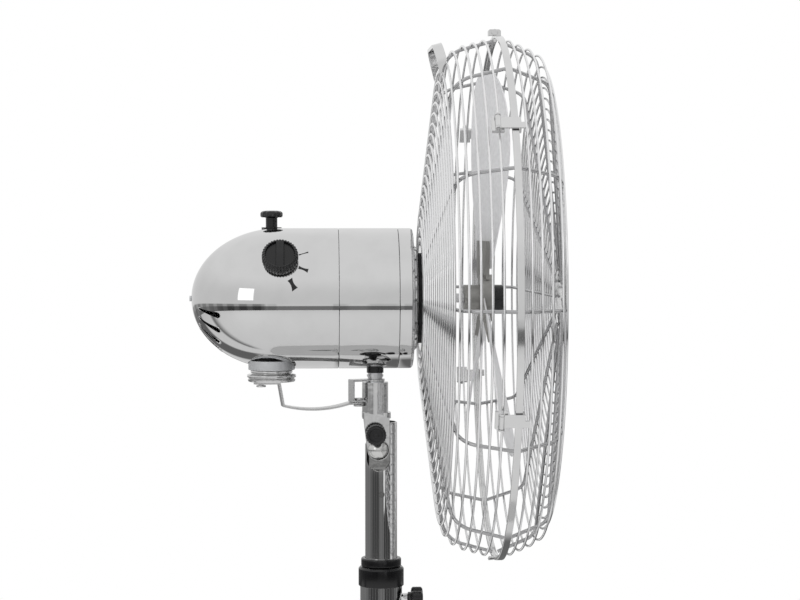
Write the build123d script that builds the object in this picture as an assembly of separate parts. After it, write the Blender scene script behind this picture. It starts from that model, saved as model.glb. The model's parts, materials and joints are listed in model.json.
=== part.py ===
from build123d import *
import os
from math import asin, atan2, cos, degrees, hypot, pi, radians, sin, sqrt, tan

# Floor fan on a round base. Millimetres, +Z up, the air leaves towards +X, and the
# speed dial is on the -Y side. The origin is on the floor, in the axis of the pole.
# The head is drawn with Z = 0 on the fan axis and lifted to fan_axis_height at the end.

# Height of the fan axis over the floor, at rest
fan_axis_height = 930.0

# Fits and clearances
running_fit = 0.06
slip_fit = 0.1
body_gap = 0.35
seat_gap = 0.02

# Base
base_radius = 200.0
base_wall = 1.5
base_lip = 9.0
base_floor_gap = 2.0
base_top_radius = 36.0
base_top_height = 38.0
weight_inset = 24.0
weight_thickness = 12.0
weight_hub_radius = 27.0
foot_radius = 13.0
foot_height = 6.0
foot_inset = 26.0
foot_count = 6
base_bolt_radius = 5.0
base_bolt_length = 62.0
bolt_head_across = 16.0
bolt_head_height = 6.5
base_washer_radius = 13.0
base_washer_thickness = 2.0

# Outer pole and its foot
outer_pole_radius = 18.4
outer_pole_wall = 1.5
socket_length = 45.0
flange_radius = 34.0
flange_top_radius = 21.5
flange_height = 26.0
flange_wall = 2.0

# Height collar, its bush and the height knob
collar_below_axis = 252.9
collar_height = 16.7
collar_radius = 19.9
collar_step = 3.0
cap_radius = 17.6
cap_height = 7.8
bush_length = 62.0
boss_radius = 7.5
boss_reach = 23.2
height_knob_drop = 15.0
height_knob_radius = 13.0
height_knob_thickness = 13.0
height_stud_radius = 3.0

# Inner pole
inner_pole_radius = 14.0
inner_pole_wall = 1.25
inner_pole_length = 600.0
pole_top_drop = 108.5
rear_wall_drop = 127.5
recess_half_width = 10.15
recess_bottom_drop = 151.0
end_bush_length = 30.0

# Tilt joint, seen from the side
pivot_x = -2.6
pivot_drop = 132.1
tang_half_thickness = 6.7
tang_radius = 23.5
tang_plug_length = 40.0
tang_pin_radius = 2.5
cheek_gap = 0.35
cheek_thickness = 3.6
cheek_radius = 9.7
fork_half_width = 10.9
fork_top_drop = 105.0
fork_web_thickness = 5.2
pivot_pin_radius = 4.0
dome_radius = 9.2
dome_height = 6.0
clamp_radius = 14.45
clamp_angle = 100.4
clamp_screw_radius = 2.5
clamp_knob_radius = 9.1
clamp_knob_thickness = 10.0
clamp_neck_radius = 4.6
clamp_neck_length = 6.6
tilt_range = 20.0

# Neck, on which the head swings
neck_x = -5.2
sleeve_radius = 11.4
sleeve_top_drop = 73.4
neck_bush_wall = 1.5
spindle_radius = 5.0
spindle_length = 30.0
stub_radius = 7.4
washer_radius = 6.4
washer_thickness = 1.7
washer_count = 3

# Housing
housing_radius = 61.25
housing_wall = 1.2
dome_length = 77.0
dome_tail_x = -165.4
seam_x = -37.6
front_seam_x = 14.0
front_face_x = 27.2
seam_gap = 0.3
front_boss_radius = 44.0
front_boss_x = 31.4
nose_radius = 16.0
nose_x = 45.5
nose_bore = 8.0
louvre_count = 9
louvre_pitch = 18.5
louvre_tail_x = -157.0
louvre_head_x = -141.5
louvre_tail_radius = 0.8
louvre_head_radius = 2.6
tail_screw_radius = 2.4

# Motor
stator_radius = 56.0
stator_front_x = -6.0
stator_length = 38.0
air_gap = 0.5
core_radius = 25.0
coil_inner_radius = 28.5
coil_outer_radius = 48.0
coil_height = 12.0
rear_plate_x = -62.0
rear_plate_thickness = 3.0
tie_circle_radius = 51.5
tie_radius = 2.5
shaft_radius = 4.0
shaft_front_x = 104.5
worm_radius = 4.4
worm_length = 18.0

# Oscillation gearbox
spindle_x = -95.6
spindle_y = 12.0
crank_y = -14.0
gear_module = 1.0
pinion_teeth = 14
crank_gear_teeth = 38
gear_thickness = 6.0
gear_top_drop = 37.5
worm_wheel_radius = 7.2
worm_wheel_height = 8.0
gearcase_half_length = 23.0
gearcase_radius = 56.2
gearcase_top = 14.0
foot_disc_radius = 20.1
foot_disc_drop = 61.0
crank_shaft_radius = 4.0
crank_bell_radius = 21.2
crank_bell_top_radius = 18.2
crank_bell_height = 10.0
crank_pin_radius = 2.5
crank_radius = 10.0
crank_angle = -154.4
gear_shaft_radius = 2.0

# Swing link and its ear on the neck
ear_x = -20.0
ear_y = -6.0
ear_thickness = 1.6
ear_width = 11.0
ear_reach = 7.4
ear_lip_drop = 88.6
link_width = 13.0
link_eye_radius = 4.1
link_flare = 9.0
link_thickness = 1.8
link_sag = 4.5
link_toe_from_crank = 19.0
link_play = 0.75
link_pin_radius = 2.2
rivet_head_radius = 4.2
rivet_head_height = 1.6

# Knobs on the head
dial_x = -87.6
dial_lift_angle = 34.4
dial_radius = 15.5
dial_height = 10.8
dial_teeth = 36
dial_skirt_gap = 0.7
dial_grip_width = 7.0
dial_grip_depth = 2.4
dial_spindle_radius = 3.0
switch_width = 24.0
switch_height = 14.0
pull_cap_radius = 9.8
pull_cap_height = 5.9
pull_top = 76.4
pull_stem_radius = 5.1
pull_rod_radius = 1.5
pull_collar_radius = 8.8
pull_travel = 8.0
gland_radius = 7.0
gland_x = -51.5
gland_y = 22.0

# Guards
gasket_radius = 39.4
gasket_thickness = 2.7
guard_plate_radius = 46.0
guard_plate_thickness = 1.3
guard_nut_radius = 25.0
guard_nut_thickness = 8.0
rib_count = 12
rib_radius = 1.5
ring_radius = 1.0
ring_pitch = 9.15
rim_x = 100.4
band_radius = 228.6
rim_wire_inset = 4.6
band_width = 5.8
band_thickness = 2.4
rear_bend_x = 55.6
rear_bend_inset = 15.9
rear_bend_fillet = 24.0
front_bend_x = 135.9
front_bend_inset = 18.7
front_bend_fillet = 14.0
front_disc_x = 156.4
front_disc_radius = 31.0
front_disc_thickness = 3.0

# Carry handle
handle_span = 92.0
handle_width = 8.5
handle_thickness = 2.8
handle_lean = 14.4
handle_base_x = 54.8
handle_base_inset = 41.6
handle_tip_inset = 9.0
handle_corner = 16.0

# Clamp lugs and latches of the rim
lug_height = 5.6
lug_length = 11.0
lug_thickness = 2.2
lug_split = 3.0
lug_screw_radius = 1.6
tail_hook_reach = 2.6
latch_angles = (50.0, -50.0, 112.0, -112.0)
latch_width = 15.0
latch_thickness = 1.5
latch_hinge_x = 86.5
latch_hinge_rise = 3.0
latch_knuckle_radius = 2.2
latch_pin_radius = 1.1
latch_ear_thickness = 1.5
latch_lip = 5.6

# Blades and hub
blade_count = 3
blade_tip_radius = 198.0
blade_root_radius = 26.0
blade_root_width = 34.0
blade_chord = 108.0
blade_chord_radius = 135.0
blade_pitch = 13.0
blade_thickness = 1.0
blade_camber_radius = 340.0
blade_x = 91.4
hub_rear_x = 72.6
hub_radius = 11.5
hub_disc_radius = 20.5
hub_disc_rear_x = 86.0
hub_front_x = 98.0
hub_arm_reach = 50.0
hub_arm_width = 26.0
hub_arm_thickness = 3.0
blade_rivet_radius = 2.2
spinner_radius = 11.5
spinner_length = 11.0

# Places that follow from the sizes above
weight_radius = base_radius - weight_inset
foot_circle_radius = weight_radius - foot_inset
rim_wire_radius = band_radius - rim_wire_inset
rear_bend_radius = band_radius - rear_bend_inset
front_bend_radius = band_radius - front_bend_inset
latch_hinge_radius = band_radius + latch_hinge_rise
handle_base_z = band_radius - handle_base_inset
handle_tip_z = band_radius - handle_tip_inset
outer_pole_bore = outer_pole_radius - outer_pole_wall
inner_pole_bore = inner_pole_radius - inner_pole_wall
base_top = base_top_height
collar_bottom = fan_axis_height - collar_below_axis
collar_top = collar_bottom + collar_height
outer_pole_top = collar_top - collar_step
height_knob_z = collar_bottom - height_knob_drop
cheek_inner = tang_half_thickness + cheek_gap
cheek_outer = cheek_inner + cheek_thickness
clamp_x = pivot_x + clamp_radius * cos(radians(clamp_angle))
clamp_z = -pivot_drop + clamp_radius * sin(radians(clamp_angle))
dome_front_x = dome_tail_x + dome_length
stator_rear_x = stator_front_x - stator_length
shaft_rear_x = spindle_x - worm_length / 2
gear_shaft_top = worm_wheel_height / 2 + 0.5
crank_x = spindle_x
pinion_pitch_radius = gear_module * pinion_teeth / 2
crank_gear_pitch_radius = gear_module * crank_gear_teeth / 2
crank_pin_x = crank_x + crank_radius * cos(radians(crank_angle))
crank_pin_y = crank_y + crank_radius * sin(radians(crank_angle))
bell_bottom_drop = foot_disc_drop + body_gap + crank_bell_height
link_top_drop = ear_lip_drop + ear_thickness + body_gap
plate_x = front_boss_x + gasket_thickness + 2 * seat_gap
rib_plane_x = plate_x + guard_plate_thickness + rib_radius + seat_gap


def turned_z(*outline):
    """A solid turned about Z from (radius, height) corners."""
    return revolve(Plane.XZ * make_face(Polyline(*outline, close=True)), Axis.Z)


def turned_x(*outline):
    """A solid turned about X from (x, radius) corners."""
    return revolve(Plane.XZ * make_face(Polyline(*outline, close=True)), Axis.X)


def post(radius, low, high, x=0.0, y=0.0):
    """An upright cylinder between two heights."""
    return Pos(x, y, (low + high) / 2) * Cylinder(radius, high - low)


def tube(outer, inner, low, high, x=0.0, y=0.0):
    """An upright tube between two heights."""
    return post(outer, low, high, x, y) - post(inner, low - 1, high + 1, x, y)


def bar_x(radius, rear, front, y=0.0, z=0.0):
    """A cylinder along X between two places."""
    return Pos((rear + front) / 2, y, z) * Rot(0, 90, 0) * Cylinder(radius, front - rear)


def bar_y(radius, near, far, x=0.0, z=0.0):
    """A cylinder along Y between two places."""
    return Pos(x, (near + far) / 2, z) * Rot(90, 0, 0) * Cylinder(radius, far - near)


def block(x0, x1, y0, y1, z0, z1):
    """A box given by its six limits."""
    return Pos((x0 + x1) / 2, (y0 + y1) / 2, (z0 + z1) / 2) * Box(x1 - x0, y1 - y0, z1 - z0)


def fluted(radius, thickness, count, flute_radius):
    """A knob disc about Z, its middle at the origin, with round flutes in its edge."""
    disc = Cylinder(radius, thickness)
    disc = chamfer(disc.edges().filter_by(GeomType.CIRCLE), 0.8)
    depth = 0.35 * flute_radius
    tools = [
        Rot(0, 0, 360 * k / count) * Pos(radius + flute_radius - depth, 0, 0) * Cylinder(flute_radius, 2 * thickness)
        for k in range(count)
    ]
    return disc - tools


def toothed(teeth, module, thickness):
    """A spur gear about Z, its middle at the origin, with straight-sided teeth."""
    pitch_radius = module * teeth / 2
    tip = pitch_radius + 0.75 * module
    root = pitch_radius - 1.05 * module
    step = 2 * pi / teeth
    outline = []
    for k in range(teeth):
        middle = k * step
        for radius, share in ((root, -0.33), (tip, -0.10), (tip, 0.10), (root, 0.33)):
            angle = middle + share * step
            outline.append((radius * cos(angle), radius * sin(angle)))
    face = make_face(Polyline(*outline, close=True))
    return Pos(0, 0, -thickness / 2) * extrude(face, thickness)


def about_fan_axis(shape, angle):
    """The shape turned about the fan axis, from the top towards -Y."""
    return Rot(angle, 0, 0) * shape


def save(name, shapes, on_head=True):
    """Writes one node. Head pieces are lifted to the height of the fan axis."""
    if not isinstance(shapes, (list, tuple)):
        shapes = [shapes]
    solids = [solid for shape in shapes for solid in shape.solids()]
    lift = Pos(0, 0, fan_axis_height if on_head else 0)
    moved = [lift * solid for solid in solids]
    body = moved[0] if len(moved) == 1 else Compound(children=moved)
    export_step(body, f"parts/{name}.step")


def base_cover():
    """Spun dome over the weight, with a flat top for the pole flange."""

    def dome(radius, lip, top_height):
        rim = (radius, base_floor_gap + lip)
        top = (base_top_radius, top_height)
        chord = hypot(rim[0] - top[0], top[1] - rim[1])
        slope = atan2(top[1] - rim[1], rim[0] - top[0])
        sagitta = chord / 2 * tan(slope / 2)
        edge = Polyline((0, top_height), (0, base_floor_gap), (radius, base_floor_gap), rim)
        crown = SagittaArc(rim, top, -sagitta)
        face = make_face(edge + crown + Line(top, (0, top_height)))
        return revolve(Plane.XZ * face, Axis.Z)

    outer = dome(base_radius, base_lip, base_top)
    inner = dome(base_radius - base_wall, base_lip - base_wall, base_top - base_wall)
    lift_cut = post(base_radius, base_floor_gap - 1, base_floor_gap + 0.001)
    bolt_hole = post(base_bolt_radius + slip_fit, 0, base_top + 1)
    return outer - inner - lift_cut - bolt_hole


def base_weight():
    """Cast iron disc with a hub that carries the cover's flat top."""
    hub_top = base_top - base_wall - seat_gap
    low = foot_height
    body = turned_z(
        (base_bolt_radius + slip_fit, low),
        (weight_radius, low),
        (weight_radius, low + weight_thickness * 0.5),
        (weight_radius - 14, low + weight_thickness),
        (weight_hub_radius + 6, low + weight_thickness),
        (weight_hub_radius, hub_top),
        (base_bolt_radius + slip_fit, hub_top),
    )
    recess = post(base_washer_radius + 1, low - 1, low + bolt_head_height + base_washer_thickness + 0.5)
    return body - recess


def feet():
    """Rubber pads under the weight."""
    return [
        Rot(0, 0, 360 * (k + 0.5) / foot_count) * turned_foot()
        for k in range(foot_count)
    ]


def turned_foot():
    """One rubber pad, standing on the floor at its place on the circle."""
    pad = turned_z(
        (0, 0),
        (foot_radius - 1.5, 0),
        (foot_radius, 1.5),
        (foot_radius, foot_height - seat_gap),
        (0, foot_height - seat_gap),
    )
    return Pos(foot_circle_radius, 0, 0) * pad


def base_bolt():
    """Hexagon bolt that pulls the pole's plug down on the cover."""
    seat = foot_height + bolt_head_height + base_washer_thickness + 0.5
    head_low = seat - base_washer_thickness - bolt_head_height
    head = Pos(0, 0, head_low) * extrude(RegularPolygon(bolt_head_across / sqrt(3), 6), bolt_head_height)
    return head + post(base_bolt_radius, head_low, head_low + base_bolt_length)


def base_washer():
    """Washer between the bolt's head and the weight."""
    seat = foot_height + bolt_head_height + base_washer_thickness + 0.5
    return tube(base_washer_radius, base_bolt_radius + slip_fit, seat - base_washer_thickness, seat - seat_gap)


def pole_flange():
    """Bell-shaped escutcheon round the foot of the pole."""
    low = base_top + seat_gap
    high = low + flange_height
    bore = outer_pole_radius + slip_fit
    return turned_z(
        (bore, low),
        (flange_radius, low),
        (flange_radius, low + 2.5),
        (flange_top_radius + 4, low + 7),
        (flange_top_radius, low + 14),
        (flange_top_radius, high),
        (bore, high),
    )


def pole_plug():
    """Threaded plug pressed into the pole's lower end."""
    low = base_top + seat_gap
    plug = post(outer_pole_bore - slip_fit, low, low + socket_length)
    return plug - post(base_bolt_radius + slip_fit, low - 1, low + socket_length - 6)


def outer_pole():
    """Chromed outer pole, with the hole for the height knob's stud."""
    pole = tube(outer_pole_radius, outer_pole_bore, base_top + seat_gap, outer_pole_top)
    return pole - bar_x(height_stud_radius + body_gap, 0, boss_reach, z=height_knob_z)


def knob_boss():
    """Threaded boss for the height knob, seated on the pole's front."""
    boss = bar_x(boss_radius, 0, boss_reach, z=height_knob_z)
    boss -= post(outer_pole_radius + seat_gap, height_knob_z - 20, height_knob_z + 20)
    return boss - bar_x(height_stud_radius + running_fit, 0, boss_reach + 1, z=height_knob_z)


def height_collar():
    """Black ring round the top of the outer pole."""
    bore = outer_pole_radius + slip_fit
    inner = outer_pole_bore
    ring = turned_z(
        (bore, collar_bottom),
        (collar_radius - 0.8, collar_bottom),
        (collar_radius, collar_bottom + 0.8),
        (collar_radius, collar_top - 1),
        (collar_radius - 1, collar_top),
        (inner, collar_top),
        (inner, outer_pole_top + slip_fit),
        (bore, outer_pole_top + slip_fit),
    )
    return ring


def collar_cap():
    """Upper ring of the collar, standing on the collar."""
    low = collar_top + seat_gap
    high = low + cap_height
    bore = inner_pole_radius + body_gap
    return turned_z(
        (bore, low),
        (cap_radius, low),
        (cap_radius, high - 1.2),
        (cap_radius - 1.2, high),
        (bore, high),
    )


def pole_bush():
    """Guide bush between the two poles, below the cap."""
    high = collar_top - seat_gap
    low = high - bush_length
    bush = tube(outer_pole_bore - slip_fit, inner_pole_radius + running_fit, low, high)
    return bush - bar_x(height_stud_radius + 0.6, 0, outer_pole_radius, z=height_knob_z)


def height_knob():
    """Black fluted knob on the height stud."""
    low = boss_reach + body_gap
    knob = fluted(height_knob_radius, height_knob_thickness - 3, 8, 4.0)
    skirt = Pos(0, 0, -height_knob_thickness / 2) * Cylinder(height_knob_radius - 4.5, 3)
    whole = Rot(0, 90, 0) * (knob + skirt)
    placed = Pos(low + 3 + (height_knob_thickness - 3) / 2, 0, height_knob_z) * whole
    return placed - bar_x(height_stud_radius + slip_fit, 0, low + height_knob_thickness - 3, z=height_knob_z)


def height_stud():
    """Steel stud that presses on the inner pole."""
    tip = inner_pole_radius + body_gap
    return bar_x(height_stud_radius, tip, boss_reach + height_knob_thickness - 3.2, z=height_knob_z)


def inner_pole():
    """Inner pole, with a recess for the fork cut down from its top."""
    top = -pole_top_drop
    low = top - inner_pole_length
    pole = tube(inner_pole_radius, inner_pole_bore, low, top)
    bottom = -recess_bottom_drop + recess_half_width
    width = 2 * recess_half_width
    recess = bar_y(recess_half_width, -20, 20, x=pivot_x, z=bottom)
    recess += block(pivot_x - width / 2, pivot_x + width / 2, -20, 20, bottom, top + 1)
    rear = block(-20, pivot_x, -20, 20, -rear_wall_drop, top + 1)
    pins = bar_y(tang_pin_radius + slip_fit, -20, 20, z=tang_pin_z())
    return pole - recess - rear - pins


def tang_pin_z():
    """Height of the cross pin that fixes the tang in the inner pole."""
    return -recess_bottom_drop - tang_plug_length / 2


def pole_tang():
    """Cast tang in the top of the inner pole, with the slot that limits the tilt."""
    plug_top = -recess_bottom_drop + 2
    plug_low = -recess_bottom_drop - tang_plug_length
    radius = inner_pole_bore - slip_fit
    plug = post(radius, plug_low, plug_top)
    ball_z = -pivot_drop
    plate = bar_y(tang_radius, -tang_half_thickness, tang_half_thickness, x=pivot_x, z=ball_z)
    plate += block(-radius, radius, -tang_half_thickness, tang_half_thickness, plug_low + 5, ball_z)
    plate = plate & post(radius, plug_low, -fork_top_drop)
    slot_half = clamp_screw_radius + body_gap
    slot = arc_slot(clamp_angle - 1, clamp_angle + tilt_range + 1, slot_half)
    pivot_hole = bar_y(pivot_pin_radius + running_fit, -20, 20, x=pivot_x, z=ball_z)
    cross_hole = bar_y(tang_pin_radius + slip_fit, -20, 20, z=tang_pin_z())
    return (plug + plate) - slot - pivot_hole - cross_hole


def arc_slot(start, end, half_width):
    """Curved slot about the pivot, cut through along Y."""
    steps = 4
    cutters = []
    for k in range(steps + 1):
        angle = radians(start + (end - start) * k / steps)
        x = pivot_x + clamp_radius * cos(angle)
        z = -pivot_drop + clamp_radius * sin(angle)
        cutters.append(bar_y(half_width, -20, 20, x=x, z=z))
    ring = bar_y(clamp_radius + half_width, -20, 20, x=pivot_x, z=-pivot_drop)
    ring -= bar_y(clamp_radius - half_width, -21, 21, x=pivot_x, z=-pivot_drop)
    sector = [(pivot_x, -pivot_drop)]
    for angle in (start, (start + end) / 2, end):
        reach = 2 * clamp_radius
        sector.append((pivot_x + reach * cos(radians(angle)), -pivot_drop + reach * sin(radians(angle))))
    wedge = Pos(0, 20, 0) * extrude(Plane.XZ * make_face(Polyline(*sector, close=True)), 40)
    return (ring & wedge) + cutters[0] + cutters[-1]


def tang_pin():
    """Cross pin through the inner pole and the tang."""
    half = sqrt(inner_pole_radius**2 - tang_pin_radius**2) - 0.05
    return bar_y(tang_pin_radius, -half, half, z=tang_pin_z())


def pole_end_bush():
    """Guide ring on the lower end of the inner pole, running in the outer pole."""
    low = -pole_top_drop - inner_pole_length
    sleeve = tube(outer_pole_bore - body_gap, inner_pole_radius + slip_fit, low, low + end_bush_length)
    floor = tube(outer_pole_bore - body_gap, inner_pole_bore - 2, low - 2, low - seat_gap)
    return sleeve + floor + tube(outer_pole_bore - body_gap, inner_pole_radius + slip_fit, low - 1, low + 1)


def tilt_bracket():
    """Cast bracket: a sleeve for the neck above a fork that straddles the tang."""
    top = -sleeve_top_drop
    web_top = -fork_top_drop + fork_web_thickness
    bore = spindle_radius + running_fit + neck_bush_wall + slip_fit
    sleeve = tube(sleeve_radius, bore, web_top - 1, top, x=neck_x)
    web = block(neck_x - sleeve_radius, pivot_x + fork_half_width, -cheek_outer, cheek_outer, -fork_top_drop, web_top)
    web = web & post(sleeve_radius + 3.2, -fork_top_drop, web_top, x=neck_x)
    cheeks = [fork_cheek(side) for side in (-1, 1)]
    body = sleeve + web + cheeks
    pin = bar_y(pivot_pin_radius + slip_fit, -20, 20, x=pivot_x, z=-pivot_drop)
    screw = bar_y(clamp_screw_radius + running_fit, -20, 20, x=clamp_x, z=clamp_z)
    drain = post(bore, web_top - 0.5, top + 1, x=neck_x)
    return body - pin - screw - drain


def fork_cheek(side):
    """One cheek of the fork: near side -1, far side +1."""
    middle = side * (cheek_inner + cheek_outer) / 2
    half = cheek_thickness / 2
    ball_z = -pivot_drop
    round_end = bar_y(cheek_radius, middle - half, middle + half, x=pivot_x, z=ball_z)
    flank = [
        (pivot_x - cheek_radius, ball_z),
        (pivot_x + cheek_radius, ball_z),
        (pivot_x + cheek_radius, -pole_top_drop - 1.5),
        (pivot_x + cheek_radius, -fork_top_drop + 1),
        (neck_x - sleeve_radius + 1.5, -fork_top_drop + 1),
        (neck_x - sleeve_radius + 1.5, -fork_top_drop - 3),
    ]
    plate = extrude(Plane.XZ * make_face(Polyline(*flank, close=True)), half, both=True)
    return round_end + Pos(0, middle, 0) * plate


def neck_bush():
    """Bush in the sleeve, with a flange that carries the washers."""
    bore = spindle_radius + running_fit
    outer = bore + neck_bush_wall
    low = -fork_top_drop + fork_web_thickness - 0.4
    top = -sleeve_top_drop
    body = tube(outer, bore, low, top + seat_gap, x=neck_x)
    return body + tube(washer_radius + 1.6, bore, top + seat_gap, top + 1.0, x=neck_x)


def pivot_bolt():
    """Pivot pin of the tilt, with the bright domed head on the near side."""
    face = -(cheek_outer + seat_gap)
    sphere_radius = (dome_radius**2 + dome_height**2) / (2 * dome_height)
    sphere = Pos(pivot_x, face - dome_height + sphere_radius, -pivot_drop) * Sphere(sphere_radius)
    head = sphere & block(-40, 40, face - dome_height - 1, face, -pivot_drop - 20, -pivot_drop + 20)
    return head + bar_y(pivot_pin_radius, face - 0.5, cheek_outer + 6, x=pivot_x, z=-pivot_drop)


def pivot_nut():
    """Nut on the far end of the pivot pin."""
    low = cheek_outer + seat_gap
    nut = Pos(pivot_x, low, -pivot_drop) * Rot(-90, 0, 0) * extrude(RegularPolygon(7, 6), 4.5)
    return nut - bar_y(pivot_pin_radius + running_fit, 0, 30, x=pivot_x, z=-pivot_drop)


def clamp_knob():
    """Black fluted knob that clamps the tilt."""
    neck_start = -(cheek_outer + body_gap)
    neck_end = neck_start - clamp_neck_length
    body_end = neck_end - clamp_knob_thickness
    knob = fluted(clamp_knob_radius, clamp_knob_thickness, 12, 1.8)
    placed = Pos(clamp_x, (neck_end + body_end) / 2, clamp_z) * Rot(90, 0, 0) * knob
    neck = bar_y(clamp_neck_radius, neck_end - 1, neck_start, x=clamp_x, z=clamp_z)
    bore = bar_y(clamp_screw_radius + slip_fit, body_end + 3, 0, x=clamp_x, z=clamp_z)
    return placed + neck - bore


def clamp_screw():
    """Screw of the clamp knob, through both cheeks and the tang's slot."""
    end = -(cheek_outer + body_gap + clamp_neck_length + clamp_knob_thickness) + 3.2
    return bar_y(clamp_screw_radius, end, cheek_outer + 5.5, x=clamp_x, z=clamp_z)


def clamp_nut():
    """Square nut of the clamp screw, on the far cheek."""
    low = cheek_outer + seat_gap
    nut = block(clamp_x - 4.2, clamp_x + 4.2, low, low + 4, clamp_z - 4.2, clamp_z + 4.2)
    return nut - bar_y(clamp_screw_radius + running_fit, 0, 30, x=clamp_x, z=clamp_z)


def swing_ear():
    """Bent ear held under the washers, which carries the link's pin."""
    top = -sleeve_top_drop + 1.0 + seat_gap
    bore = spindle_radius + body_gap
    angle = degrees(atan2(ear_y, ear_x - neck_x))
    reach = hypot(ear_x - neck_x, ear_y) + ear_reach
    eye = Cylinder(washer_radius + 2, ear_thickness)
    strip = Pos(reach / 2, 0, 0) * Box(reach, ear_width, ear_thickness)
    lip_z = -ear_lip_drop - ear_thickness / 2
    rise = top + ear_thickness - (-ear_lip_drop - ear_thickness)
    wall = Pos(reach - ear_thickness / 2, 0, -rise / 2 + ear_thickness / 2) * Box(ear_thickness, ear_width, rise)
    upper = (eye + strip + wall) - Cylinder(bore, 3 * ear_thickness)
    upper = Pos(neck_x, 0, top + ear_thickness / 2) * Rot(0, 0, angle) * upper
    lip = Pos(reach - ear_reach, 0, 0) * Box(2 * ear_reach, ear_width, ear_thickness)
    lip = Pos(neck_x, 0, lip_z) * Rot(0, 0, angle) * lip
    body = upper + lip - post(sleeve_radius + 0.4, -120, -sleeve_top_drop - 0.1, x=neck_x)
    return body - post(link_pin_radius + slip_fit, -120, -80, x=ear_x, y=ear_y)


def link_pin():
    """Rivet that hangs the link from the ear."""
    top = -ear_lip_drop + rivet_head_height
    low = -link_top_drop - link_thickness - body_gap - rivet_head_height
    pin = post(link_pin_radius, low, top, x=ear_x, y=ear_y)
    upper = post(link_pin_radius + 1.6, -ear_lip_drop + seat_gap, top, x=ear_x, y=ear_y)
    lower = post(rivet_head_radius, low, low + rivet_head_height, x=ear_x, y=ear_y)
    return pin + upper + lower


def swing_link():
    """Bent flat link from the crank pin to the ear, with a step and a sag."""
    length = hypot(crank_pin_x - ear_x, crank_pin_y - ear_y)
    angle = degrees(atan2(crank_pin_y - ear_y, crank_pin_x - ear_x))
    low = -link_top_drop - link_thickness / 2
    high = -bell_bottom_drop - body_gap - link_thickness / 2
    toe = length - link_toe_from_crank
    flat_end = 9.0
    start = (-link_width / 2, low)
    bend = (flat_end, low)
    middle = ((flat_end + toe) / 2, low - link_sag)
    foot = (toe, low - 1)
    path = Line(start, bend) + ThreePointArc(bend, middle, foot)
    path += Polyline(foot, (toe + 3.5, high), (length + link_width / 2, high))
    strip = extrude(Plane.XZ * trace(path, link_thickness), link_width / 2, both=True)
    half = link_width / 2
    eye = link_eye_radius
    flank = Polyline((0, -eye), (link_flare, -half), (length, -half), (length, half), (link_flare, half), (0, eye), close=True)
    ends = post(eye, -200, 0) + post(half, -200, 0, x=length) + Pos(0, 0, -200) * extrude(make_face(flank), 200)
    strip = strip & ends
    strip -= post(link_pin_radius + running_fit, -200, 0)
    strip -= post(crank_pin_radius + link_play, -200, 0, x=length)
    return Pos(ear_x, ear_y, 0) * Rot(0, 0, angle) * strip


def neck_stub():
    """Black cast stub below the housing, bored for the spindle."""
    low = -washer_stack_top() + seat_gap
    high = -stator_radius - 1.0
    stub = post(stub_radius, low, high, x=neck_x)
    skin = bar_x(housing_radius - housing_wall - 0.1, -60, 60)
    seat = post(stub_radius + 4, -housing_radius, high, x=neck_x) & skin
    bore = post(spindle_radius + slip_fit, low - 1, high - 2, x=neck_x)
    return stub + seat - bore


def washer_stack_top():
    """Drop of the upper face of the washers on the bush."""
    bottom = sleeve_top_drop - 1.0 - ear_thickness - 2 * seat_gap
    return bottom - washer_count * washer_thickness - body_gap


def neck_washers():
    """Bright thrust washers between the ear and the stub."""
    start = -sleeve_top_drop + 1.0 + ear_thickness + 2 * seat_gap + body_gap
    rings = []
    for k in range(washer_count):
        low = start + k * washer_thickness
        radius = washer_radius + (0.8 if k == 1 else 0.0)
        rings.append(tube(radius, spindle_radius + slip_fit, low + seat_gap, low + washer_thickness - seat_gap, x=neck_x))
    return rings


def neck_spindle():
    """Steel spindle from the stub down into the bracket's bush."""
    top = -stator_radius - 3.2
    low = top - spindle_length - 10
    floor = -fork_top_drop + fork_web_thickness + body_gap
    return post(spindle_radius, max(low, floor), top, x=neck_x)


def housing_skin(radius, length):
    """Solid bullet shape: a half ellipse of revolution in front of its tail, then a cylinder."""
    centre = (dome_front_x, 0)
    arc = EllipticalCenterArc(centre, length, radius, 90, arc_size=90)
    tail = (dome_front_x - length, 0)
    straight = Polyline(tail, (front_seam_x, 0), (front_seam_x, radius), (dome_front_x, radius))
    return revolve(Plane.XZ * make_face(arc + straight), Axis.X)


def housing_shell():
    """The two sheet shells as one bullet, before the seams are cut."""
    inner = housing_skin(housing_radius - housing_wall, dome_length - housing_wall)
    inner += bar_x(housing_radius - housing_wall, front_seam_x - 1, front_seam_x + 1)
    shell = housing_skin(housing_radius, dome_length) - inner
    pull_hole = post(pull_stem_radius + 1.2, 0, 80, x=spindle_x, y=spindle_y)
    foot_hole = post(foot_disc_radius + 0.4, -80, -30, x=crank_x, y=crank_y)
    neck_hole = post(stub_radius + 0.2, -80, -30, x=neck_x)
    dial_hole = dial_frame() * Pos(0, 0, housing_radius) * Cylinder(dial_spindle_radius + 1.0, 20)
    gland_hole = gland_frame() * Cylinder(gland_radius - 1.5, 20)
    return shell - pull_hole - foot_hole - neck_hole - dial_hole - gland_hole


def louvre_cutter():
    """Teardrop prism for one louvre, standing on the fan axis towards +Z."""
    outline = Pos(louvre_tail_x, 0) * Circle(louvre_tail_radius) + Pos(louvre_head_x, 0) * Circle(louvre_head_radius)
    hull = make_hull(outline.edges())
    return extrude(hull, housing_radius)


def rear_housing():
    """Rear shell with its louvres and the hole of the tail screw."""
    shell = housing_shell() & block(-200, seam_x, -80, 80, -80, 80)
    middle = (louvre_count - 1) / 2
    cutter = louvre_cutter()
    for k in range(louvre_count):
        shell -= Rot(180 + (k - middle) * louvre_pitch, 0, 0) * cutter
    return shell - bar_x(tail_screw_radius * 0.6 + slip_fit, -180, -150)


def middle_housing():
    """Middle shell, between the two seams."""
    return housing_shell() & block(seam_x + seam_gap, front_seam_x, -80, 80, -80, 80)


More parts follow.
